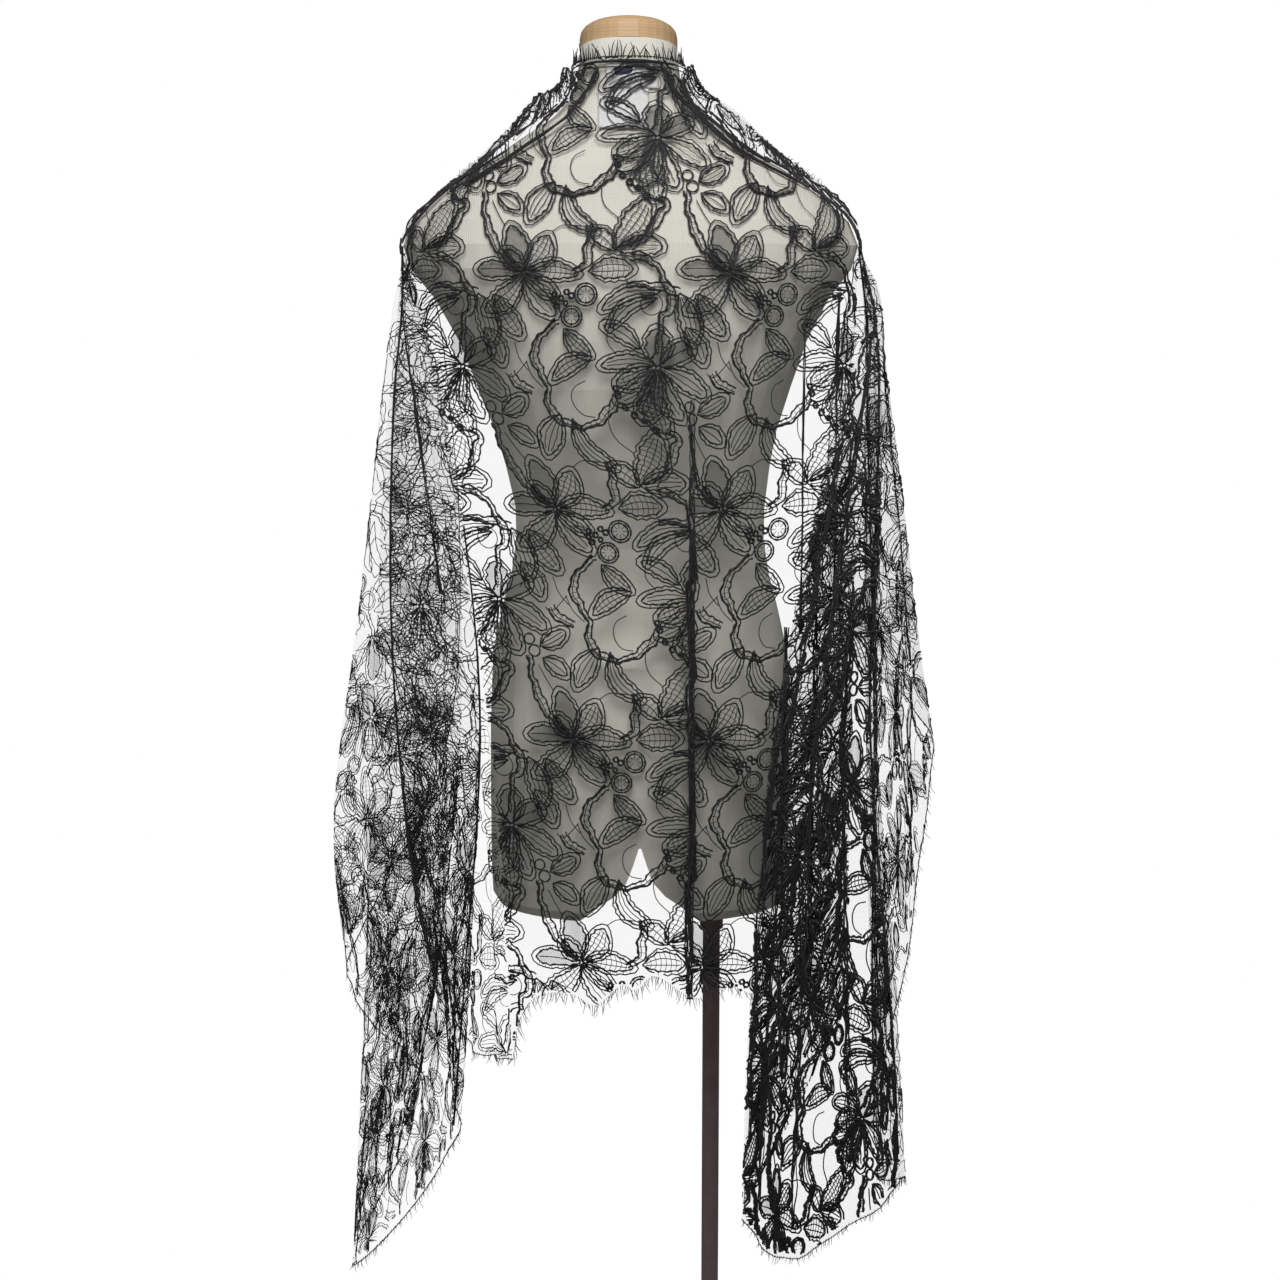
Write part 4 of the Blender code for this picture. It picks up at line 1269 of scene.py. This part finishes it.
def yarn_finish(settings):
    """Black cotton cord with a slightly fuzzy surface."""
    material, tree, shader = new_finish("black_cord", settings.thread_colour, 0.62)
    place = tree.nodes.new("ShaderNodeTexCoord")
    clouds = cloudy_colour(tree, shader, place.outputs["Object"], settings.thread_colour, 900.0, 0.5)
    shader.inputs["Specular IOR Level"].default_value = 0.35
    shader.inputs["Sheen Weight"].default_value = 0.15
    bump_from(tree, shader, clouds.outputs["Value"], 0.0002)
    return material


def jersey_finish(settings):
    """Cream jersey: fine upright knit ribs and a little unevenness."""
    material, tree, shader = new_finish("cream_jersey", settings.jersey_colour, 0.9)
    place = tree.nodes.new("ShaderNodeTexCoord")
    cloudy_colour(tree, shader, place.outputs["Object"], settings.jersey_colour, 14.0, 0.08)
    knit = tree.nodes.new("ShaderNodeTexWave")
    knit.bands_direction = "X"
    knit.inputs["Scale"].default_value = 160.0
    knit.inputs["Distortion"].default_value = 1.5
    knit.inputs["Detail"].default_value = 2.0
    tree.links.new(place.outputs["Object"], knit.inputs["Vector"])
    bump_from(tree, shader, knit.outputs["Fac"], 0.00025, 0.6)
    shader.inputs["Sheen Weight"].default_value = 0.2
    return material


def wood_finish(settings):
    """Light varnished wood with turned growth lines."""
    material, tree, shader = new_finish("light_wood", settings.wood_colour, 0.55)
    place = tree.nodes.new("ShaderNodeTexCoord")
    turned = tree.nodes.new("ShaderNodeMapping")
    turned.inputs["Location"].default_value = (0.078, 0.02, -1.40)
    turned.inputs["Scale"].default_value = (1.0, 1.0, 3.0)
    tree.links.new(place.outputs["Object"], turned.inputs["Vector"])
    grain = tree.nodes.new("ShaderNodeTexWave")
    grain.wave_type = "RINGS"
    grain.rings_direction = "X"
    grain.inputs["Scale"].default_value = 40.0
    grain.inputs["Distortion"].default_value = 5.0
    grain.inputs["Detail"].default_value = 3.0
    tree.links.new(turned.outputs["Vector"], grain.inputs["Vector"])
    mix = tree.nodes.new("ShaderNodeMix")
    mix.data_type = "RGBA"
    mix.inputs["A"].default_value = (*settings.wood_colour[:3], 1.0)
    mix.inputs["B"].default_value = (*[c * 0.86 for c in settings.wood_colour[:3]], 1.0)
    tree.links.new(grain.outputs["Fac"], mix.inputs["Factor"])
    tree.links.new(mix.outputs["Result"], shader.inputs["Base Color"])
    shader.inputs["Coat Weight"].default_value = 0.12
    shader.inputs["Coat Roughness"].default_value = 0.35
    bump_from(tree, shader, grain.outputs["Fac"], 0.0001, 0.4)
    return material


def paint_finish(settings):
    """Dark brown satin paint with faint wear."""
    material, tree, shader = new_finish("satin_paint", settings.paint_colour, 0.42)
    place = tree.nodes.new("ShaderNodeTexCoord")
    clouds = cloudy_colour(tree, shader, place.outputs["Object"], settings.paint_colour, 60.0, 0.25)
    rough = math_node(tree, "MULTIPLY", clouds.outputs["Value"], 0.42, clamp=True)
    tree.links.new(rough, shader.inputs["Roughness"])
    bump_from(tree, shader, clouds.outputs["Value"], 0.0001, 0.3)
    return material


def tape_finish(name, colour):
    """Bare woven tape."""
    material, tree, shader = new_finish(name, colour, 0.7)
    place = tree.nodes.new("ShaderNodeUVMap")
    place.uv_map = "cloth"
    cloudy_colour(tree, shader, place.outputs["UV"], colour, 60.0, 0.12)
    weave = tree.nodes.new("ShaderNodeTexWave")
    weave.bands_direction = "Y"
    weave.inputs["Scale"].default_value = 500.0
    tree.links.new(place.outputs["UV"], weave.inputs["Vector"])
    bump_from(tree, shader, weave.outputs["Fac"], 0.0002, 0.5)
    return material


def finish_named(name, maker, *values):
    return bpy.data.materials.get(name) or maker(*values)


# Settings

def length(name, description, default):
    return bpy.props.FloatProperty(name=name, description=description, default=default, unit="LENGTH")


def amount(name, description, default):
    return bpy.props.FloatProperty(name=name, description=description, default=default, min=0.0)


def colour(name, description, default):
    return bpy.props.FloatVectorProperty(
        name=name, description=description, default=default, subtype="COLOR", size=3,
    )


class StoleClothSettings(bpy.types.PropertyGroup):
    """Sizes and colours of the lace."""
    repeat_width: length("Repeat width", "Width of one repeat of the lace", 0.171)
    repeat_height: length("Repeat height", "Height of one repeat of the lace", 0.196)
    cord_radius: length("Cord radius", "Radius of the outlining cord", 0.00092)
    outer_width: length("Outer half width", "Half the width of a second outline", 0.00062)
    vein_width: length("Vein half width", "Half the width of a vein thread", 0.00042)
    fine_width: length("Rung half width", "Half the width of a rung thread", 0.00026)
    net_mesh: length("Net mesh", "Width of one mesh of the net", 0.0013)
    net_thread: amount("Net thread", "Thread width as a share of a mesh", 0.070)
    patch_thread: amount("Shaded net thread", "Thread width as a share of a mesh in shaded petals", 0.16)
    lash_length: length("Loose thread length", "Length of the loose ends on a raw edge", 0.0105)
    thread_colour: colour("Thread colour", "Colour of every thread", (0.008, 0.008, 0.011))


class StoleStandSettings(bpy.types.PropertyGroup):
    """Colours of the form, its cap, the stand and the tapes."""
    jersey_colour: colour("Jersey colour", "Colour of the form's jersey", (0.80, 0.78, 0.69))
    wood_colour: colour("Wood colour", "Colour of the neck cap", (0.60, 0.395, 0.205))
    paint_colour: colour("Paint colour", "Colour of the pole, socket and base", (0.170, 0.115, 0.122))
    tape_colour: colour("Tape colour", "Colour of the bare tapes", (0.80, 0.80, 0.79))
    tab_colour: colour("Tab colour", "Colour of the small tab", (0.015, 0.02, 0.05))


class StoleStageSettings(bpy.types.PropertyGroup):
    """Floor and lights."""
    floor_radius: length("Floor radius", "Radius of the plain floor", 0.62)
    floor_colour: colour("Floor colour", "Colour of the floor", (0.86, 0.86, 0.86))
    key_power: amount("Key light", "Power of the large light above the camera", 22.0)
    rim_power: amount("Side lights", "Power of each of the lights beside the form", 3.0)
    ambient: amount("Surround", "Strength of the surrounding light", 0.11)


# Operators

# The back panel's stretch and the lace's chart, made once and used by every piece
LACE_BACK = {}


def cloth_settings():
    return bpy.context.scene.stole_cloth


def back_stretch():
    if "back" not in LACE_BACK:
        LACE_BACK["back"] = make_back_stretch()
        LACE_BACK["chart"] = lace_chart()
    return LACE_BACK["back"]


def lace_materials():
    cloth = cloth_settings()
    net = finish_named("black_net", net_finish, "black_net", cloth, cloth.net_thread)
    shaded = finish_named("shaded_net", net_finish, "shaded_net", cloth, cloth.patch_thread)
    finish_named("thin_net", net_finish, "thin_net", cloth, cloth.net_thread * 0.8)
    finish_named("close_net", net_finish, "close_net", cloth, cloth.net_thread * 1.25)
    yarn = finish_named("black_cord", yarn_finish, cloth)
    return net, shaded, yarn


def outlines_only(chart):
    """The chart without its fine lines, for folds that lie behind others."""
    return {**empty_chart(), "cords": chart["cords"], "thick": chart["thick"]}


def part_of(stretch, here):
    """The same stretch, worked only where a mask allows it."""
    inside = stretch.inside & here
    return Stretch(stretch.points, stretch.levels, stretch.keys, inside, stretch.spot_keys, stretch.area)


def work_pieces(name, stretch, yarn, shaded, weight=1.0):
    """Flowers, leaves with stems, and shaded petals of one stretch."""
    back_stretch()
    flowers, leaves = LACE_BACK["chart"]
    patches = no_patches()
    cloth = cloth_settings()
    made = [
        work_lace(name + "_flowers", stretch, flowers, cloth, yarn, patches, weight),
        work_lace(name + "_leaves", stretch, leaves, cloth, yarn, None, weight),
    ]
    if patches["faces"]:
        made.append(patches_piece(name + "_shading", patches, shaded))
    return made


class STOLE_OT_stage(bpy.types.Operator):
    """Plain floor, soft lights and the camera"""
    bl_idname = "stole.stage"
    bl_label = "Stage"

    def execute(self, context):
        settings = context.scene.stole_stage
        bpy.ops.object.select_all(action="DESELECT")
        bpy.ops.mesh.primitive_circle_add(
            vertices=96, radius=settings.floor_radius, fill_type="NGON", location=(0, 0, 0),
        )
        floor = context.active_object
        floor.name = "floor"
        material, _tree, _shader = new_finish("floor", settings.floor_colour, 0.8)
        floor.data.materials.append(material)
        add_light(KEY_LAMP, settings.key_power)
        for lamp in SIDE_LAMPS:
            add_light(lamp, settings.rim_power)
        world = bpy.data.worlds.new("surround")
        context.scene.world = world
        world.use_nodes = True
        tree = world.node_tree
        tree.nodes.clear()
        seen, lit = tree.nodes.new("ShaderNodeBackground"), tree.nodes.new("ShaderNodeBackground")
        seen.inputs["Strength"].default_value = 1.0
        lit.inputs["Strength"].default_value = settings.ambient
        for node in (seen, lit):
            node.inputs["Color"].default_value = (1.0, 1.0, 1.0, 1.0)
        path, mix = tree.nodes.new("ShaderNodeLightPath"), tree.nodes.new("ShaderNodeMixShader")
        out = tree.nodes.new("ShaderNodeOutputWorld")
        tree.links.new(path.outputs["Is Camera Ray"], mix.inputs[0])
        tree.links.new(lit.outputs[0], mix.inputs[1])
        tree.links.new(seen.outputs[0], mix.inputs[2])
        tree.links.new(mix.outputs[0], out.inputs["Surface"])
        camera_data = bpy.data.cameras.new("camera")
        camera_data.lens = CAMERA_LENS
        camera_data.sensor_width = CAMERA_SENSOR
        camera = bpy.data.objects.new("camera", camera_data)
        camera.location = CAMERA_PLACE
        camera.rotation_euler = (math.radians(90 - CAMERA_PITCH), 0, 0)
        context.scene.collection.objects.link(camera)
        context.scene.camera = camera
        context.scene.view_settings.view_transform = "Standard"
        context.scene.cycles.transparent_max_bounces = 24
        return {"FINISHED"}


def add_light(lamp, power):
    data = bpy.data.lights.new(lamp.name, "AREA")
    data.shape = "SQUARE"
    data.size = LAMP_SIZE
    data.energy = power
    light = bpy.data.objects.new(lamp.name, data)
    light.location = lamp.place
    light.rotation_euler = (Vector(lamp.aim) - Vector(lamp.place)).to_track_quat("-Z", "Y").to_euler()
    bpy.context.scene.collection.objects.link(light)


class STOLE_OT_form(bpy.types.Operator):
    """Jersey on the form, wood on the cap and paint on the stand"""
    bl_idname = "stole.form"
    bl_label = "Dress form and stand"

    def execute(self, context):
        settings = context.scene.stole_stand
        paint = finish_named("satin_paint", paint_finish, settings)
        finishes = {
            "dress_form": finish_named("cream_jersey", jersey_finish, settings),
            "neck_cap": finish_named("light_wood", wood_finish, settings),
            "pole_socket": paint,
            "stand_pole": paint,
            "stand_base": paint,
        }
        for node, material in finishes.items():
            item = bpy.data.objects[node]
            item.data.materials.clear()
            item.data.materials.append(material)
        return {"FINISHED"}


class STOLE_OT_labels(bpy.types.Operator):
    """Bare tapes sewn at the nape"""
    bl_idname = "stole.labels"
    bl_label = "Tapes at the nape"

    def execute(self, context):
        settings = context.scene.stole_stand
        white = tape_finish("white_tape_weave", settings.tape_colour)
        navy = tape_finish("navy_tape_weave", settings.tab_colour)
        slots = ("white_tape", "white_tape", "navy_tape")
        for tape, material, slot in zip(TAPES, (white, white, navy), slots):
            piece = make_tape(tape, material)
            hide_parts(tape.node)
        return {"FINISHED"}


def make_tape(tape, material):
    """Plain tape round the back of the neck, whose middle stands off a little."""
    rows, columns = 14, 28
    grid, places = [], []
    for j in range(rows + 1):
        z = tape.high + (tape.low - tape.high) * j / rows
        wide = form_size(z, "half_width") + tape.off
        line = []
        for i in range(columns + 1):
            x = tape.left + (tape.right - tape.left) * i / columns
            share = max(-0.95, min(0.95, (x - LEAN_X[-1]) / wide))
            angle = math.acos(-math.copysign(abs(share) ** (SECTION_POWER / 2), share))
            curl = 0.0006 * (1 - math.cos(2 * math.pi * i / columns)) * math.sin(math.pi * j / rows)
            line.append(off_point(angle, z, tape.off + curl))
            places.append((x, z))
        grid.append(line)
    piece = grid_piece(tape.name, grid_array(grid), np.array(places), material)
    bpy.ops.object.select_all(action="DESELECT")
    bpy.context.view_layer.objects.active = piece
    piece.select_set(True)
    thick = piece.modifiers.new("thickness", "SOLIDIFY")
    thick.thickness = TAPE_WALL
    thick.offset = 0.0
    bpy.ops.object.modifier_apply(modifier=thick.name)
    return piece


class STOLE_OT_back(bpy.types.Operator):
    """Back panel: its net, lace and raw edges"""
    bl_idname = "stole.back"
    bl_label = "Back panel"

    def execute(self, context):
        back = back_stretch()
        cloth = cloth_settings()
        net, shaded, yarn = lace_materials()
        angles = [math.pi * k / BACK_COLUMNS for k in range(BACK_COLUMNS + 1)]
        shares = np.linspace(0, 1, HANGING_NET_ROWS + 1)[1:]
        upper = back.points[:UPPER_ROWS]
        lower = grid_array([
            [section_point(a, SHOULDER_TIP_Z + (hem_height(a) - SHOULDER_TIP_Z) * share) for a in angles]
            for share in shares
        ])
        points = np.concatenate((upper, lower))
        across = arcs_from(points, MIDDLE_X + FORM_X) + MIDDLE_ACROSS
        down = np.interp(-points[:, :, 2], -BACK_LEVELS, back.levels)
        piece = grid_piece("lace_back_net", points, np.stack((across, down), axis=2), net)
        made = work_pieces("lace_back", back, yarn, shaded)
        normals = grid_normals(points)
        hem = Yarns()
        downwards = points[-1] - points[-3]
        add_lashes(
            hem, points[-1, HEM_SPAN], normals[-1, HEM_SPAN], downwards[HEM_SPAN], cloth.lash_length, 11,
        )
        hem_piece = hem.build("lace_hem_threads", yarn)
        ridge = Yarns()
        for n, gather in enumerate(NECK_GATHERS + PLEAT_GATHERS):
            line, facing, aside = path_line(points, normals, gather.path)
            add_gathers(ridge, line, facing, aside, gather.spread, gather.count, 41 + n, gather.radius)
        across_nape = points[1, NAPE_BAND]
        down_nape = points[2, NAPE_BAND] - points[0, NAPE_BAND]
        down_nape /= np.linalg.norm(down_nape, axis=1, keepdims=True)
        add_gathers(ridge, across_nape, normals[1, NAPE_BAND], down_nape, 0.0016, 7, 60, 0.0006)
        ridge_piece = ridge.build("lace_ridge_threads", yarn)
        nape = Yarns()
        upwards = points[0] - points[2]
        long = cloth.lash_length * 1.3
        add_lashes(
            nape, points[0, NAPE_SPAN], normals[0, NAPE_SPAN], upwards[NAPE_SPAN], long, 12, 0.0024, 2.4,
        )
        for n in range(3):
            facing = normals[n, HEM_SPAN]
            nape.cord(points[n, HEM_SPAN] + facing * 0.0004, facing, NAPE_RADIUS)
        nape_piece = nape.build("lace_nape_threads", yarn)
        for edge_piece, node in ((hem_piece, "stole_hem_lashes"), (nape_piece, "stole_nape_lashes")):
            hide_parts(node)
        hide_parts("stole_back")
        return {"FINISHED"}


class STOLE_OT_tuck(bpy.types.Operator):
    """Narrow pressed tuck right of the back's middle"""
    bl_idname = "stole.tuck"
    bl_label = "Tuck"

    def execute(self, context):
        back = back_stretch()
        _net, shaded, yarn = lace_materials()
        rows = [j for j, z in enumerate(BACK_LEVELS) if z < TUCK_TOP_Z]
        points, normals = [], []
        shares = (-0.5, 0.0, 0.5)
        bottom = smooth_at(column(BACK_HEM, "across"), column(BACK_HEM, "z"), 0.1)
        for j in rows:
            if BACK_LEVELS[j] < bottom:
                break
            xs = back.points[j, :, 0]
            wanted = [TUCK_X + FORM_X + TUCK_WIDTH * s for s in shares]
            for grid, found in ((back.points, points), (back.normals, normals)):
                found.append([row_between(x, xs, grid[j]) for x in wanted])
        points, normals = np.array(points), np.array(normals)
        points = points + normals * TUCK_LIFT
        places = np.stack((points[:, :, 0], points[:, :, 2]), axis=2)
        piece = grid_piece("lace_tuck_net", points, places, shaded)
        yarns = Yarns()
        draws = random.Random(5)
        for k in range(TUCK_CORDS):
            phase, turn = draws.uniform(0, TURN), draws.uniform(60, 130)
            z = points[:, 1, 2]
            sway = np.sin(turn * z + phase) * 0.5 + 0.5
            line = points[:, 0] * (1 - sway[:, None]) + points[:, 2] * sway[:, None]
            line = line + normals[:, 1] * 0.0004 * (1 + k % 3)
            yarns.cord(line[3 * k:], normals[3 * k:, 1], 0.00055)
        threads = yarns.build("lace_tuck_cords", yarn)
        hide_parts("stole_back_tuck")
        return {"FINISHED"}


class STOLE_OT_shoulders(bpy.types.Operator):
    """Two stretches that stand in front of the shoulders"""
    bl_idname = "stole.shoulders"
    bl_label = "Shoulder stretches"

    def execute(self, context):
        back = back_stretch()
        cloth = cloth_settings()
        net, shaded, yarn = lace_materials()
        for name, node, table, side in (("lace_left_shoulder", "stole_left_shoulder", LEFT_STAND, -1),
                                        ("lace_right_shoulder", "stole_right_shoulder", RIGHT_STAND, 1)):
            stretch = make_shoulder_stretch(table, side, back)
            downs = np.broadcast_to(np.asarray(stretch.levels)[:, None], stretch.keys.shape)
            piece = grid_piece(name + "_net", stretch.points, np.stack((stretch.keys, downs), axis=2), net)
            made = work_pieces(name, stretch, yarn, shaded)
            edge = 0 if side < 0 else -1
            inner = 2 if side < 0 else -3
            threads = Yarns()
            outward = stretch.points[:, edge] - stretch.points[:, inner]
            line, facing = stretch.points[:, edge], stretch.normals[:, edge]
            add_lashes(threads, line, facing, outward, cloth.lash_length * 0.6, 20 + side)
            lashes = threads.build(name + "_threads", yarn)
            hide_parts(node)
        return {"FINISHED"}


def dress_end(end, lines):
    """Net, lace, raw edge and edge cord of one hanging end."""
    back = back_stretch()
    cloth = cloth_settings()
    _net, shaded, yarn = lace_materials()
    name, side = end.name, end.side
    place = tip_spot(back, side)
    stretch, points, turns, reach = make_end_stretch(
        lines, side, place, end.first_turn, end.last_turn, end.depth,
    )
    places = end_places(turns, reach, side, place)
    piece = grid_piece(name + "_net", points, places, bpy.data.materials[end.net])
    folds = np.linspace(0, len(lines) - 1, points.shape[1])[None, :]
    shares = stretch.levels[:, None] / reach[None, :]
    made = []
    for n, band in enumerate(end.bands):
        across = (folds >= band.first) & (folds <= band.last)
        part = part_of(stretch, across & (shares >= band.high) & (shares <= band.low))
        if band.whole:
            made += work_pieces(f"{name}_{n}", part, yarn, shaded, band.weight)
            continue
        for kind, chart in zip(("flowers", "leaves"), LACE_BACK["chart"]):
            work = work_lace(f"{name}_{n}_{kind}", part, outlines_only(chart), cloth, yarn, None, band.weight)
            made.append(work)
    normals = grid_normals(points)
    threads = Yarns()
    downwards = points[-1] - points[-3]
    add_lashes(threads, points[-1], normals[-1], downwards, cloth.lash_length * 0.75, end.seed)
    threads.cord(points[-1], normals[-1], EDGE_RADIUS)
    threads.cord(points[:, -1], normals[:, -1], EDGE_RADIUS)
    for n, crease in enumerate(end.creases):
        at = crease.fold * FOLD_STEPS
        line, facing, aside = crease_line(points, normals, at, crease.high, crease.low)
        aside = aside * np.array((1.0, 0.5, 0.0))
        add_gathers(threads, line, facing, aside, crease.spread, crease.count, end.seed + n, crease.radius)
    lashes = threads.build(name + "_threads", yarn)
    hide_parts(end.node)


class STOLE_OT_left_end(bpy.types.Operator):
    """Left end, which fans out of the shoulder tip in loose pleats"""
    bl_idname = "stole.left_end"
    bl_label = "Left end"

    def execute(self, context):
        seam = seam_line(0.0)
        lines = [seam] + fold_lines(LEFT_FOLDS, -1, seam[0])
        dress_end(LEFT_END, lines)
        return {"FINISHED"}


class STOLE_OT_right_end(bpy.types.Operator):
    """Right end, folded back over the back panel, and the pleat that joins them"""
    bl_idname = "stole.right_end"
    bl_label = "Right end"

    def execute(self, context):
        seam = seam_line(math.pi)
        folds = fold_lines(RIGHT_FOLDS, 1, seam[0])
        dress_end(RIGHT_END, folds)
        net, shaded, yarn = lace_materials()
        first = int(np.searchsorted(END_SHARES, PLEAT_TOP_SHARE))
        steps = np.linspace(0.02, 0.98, PLEAT_COLUMNS)
        points = grid_array([[a.lerp(b, t) for t in steps] for a, b in zip(seam[first:], folds[0][first:])])
        place = tip_spot(back_stretch(), 1)
        turns = np.linspace(-0.05, RIGHT_END.first_turn, PLEAT_COLUMNS)[None, :]
        reach = SHOULDER_TIP_Z - points[:, :, 2]
        places = np.stack((place[0] + reach * np.sin(turns), place[1] + reach * np.cos(turns)), axis=2)
        piece = grid_piece("lace_right_pleat_net", points, places, net)
        levels = SHOULDER_TIP_Z - points[:, :, 2].mean(axis=1)
        keys = np.repeat(turns, len(points), axis=0)
        inside = np.ones(keys.shape, dtype=bool)
        area = (place[0] - 0.06, place[0] + 0.12, place[1], place[1] + levels[-1])
        stretch = Stretch(points, levels, keys, inside, round_the_tip(place, 1), area)
        made = work_pieces("lace_right_pleat", stretch, yarn, shaded)
        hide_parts("stole_right_pleat")
        return {"FINISHED"}


class STOLE_PT_panel(bpy.types.Panel):
    """Steps and sizes of the stole"""
    bl_label = "Stole"
    bl_idname = "STOLE_PT_panel"
    bl_space_type = "VIEW_3D"
    bl_region_type = "UI"
    bl_category = "Stole"

    def draw(self, context):
        layout = self.layout
        for step in STEPS:
            layout.operator(step)
        scene = context.scene
        for settings in (scene.stole_cloth, scene.stole_stand, scene.stole_stage):
            for name in settings.bl_rna.properties.keys():
                if name not in ("rna_type", "name"):
                    layout.prop(settings, name)


STEPS = (
    "stole.stage",
    "stole.form",
    "stole.labels",
    "stole.back",
    "stole.tuck",
    "stole.shoulders",
    "stole.left_end",
    "stole.right_end",
)
CLASSES = (
    StoleClothSettings,
    StoleStandSettings,
    StoleStageSettings,
    STOLE_OT_stage,
    STOLE_OT_form,
    STOLE_OT_labels,
    STOLE_OT_back,
    STOLE_OT_tuck,
    STOLE_OT_shoulders,
    STOLE_OT_left_end,
    STOLE_OT_right_end,
    STOLE_PT_panel,
)


def register():
    for item in CLASSES:
        bpy.utils.register_class(item)
    bpy.types.Scene.stole_cloth = bpy.props.PointerProperty(type=StoleClothSettings)
    bpy.types.Scene.stole_stand = bpy.props.PointerProperty(type=StoleStandSettings)
    bpy.types.Scene.stole_stage = bpy.props.PointerProperty(type=StoleStageSettings)


def unregister():
    del bpy.types.Scene.stole_stage
    del bpy.types.Scene.stole_stand
    del bpy.types.Scene.stole_cloth
    for item in reversed(CLASSES):
        bpy.utils.unregister_class(item)


def main():
    register()
    bpy.ops.stole.stage()
    bpy.ops.stole.form()
    bpy.ops.stole.labels()
    bpy.ops.stole.back()
    bpy.ops.stole.tuck()
    bpy.ops.stole.shoulders()
    bpy.ops.stole.left_end()
    bpy.ops.stole.right_end()


if __name__ == "__main__":
    main()
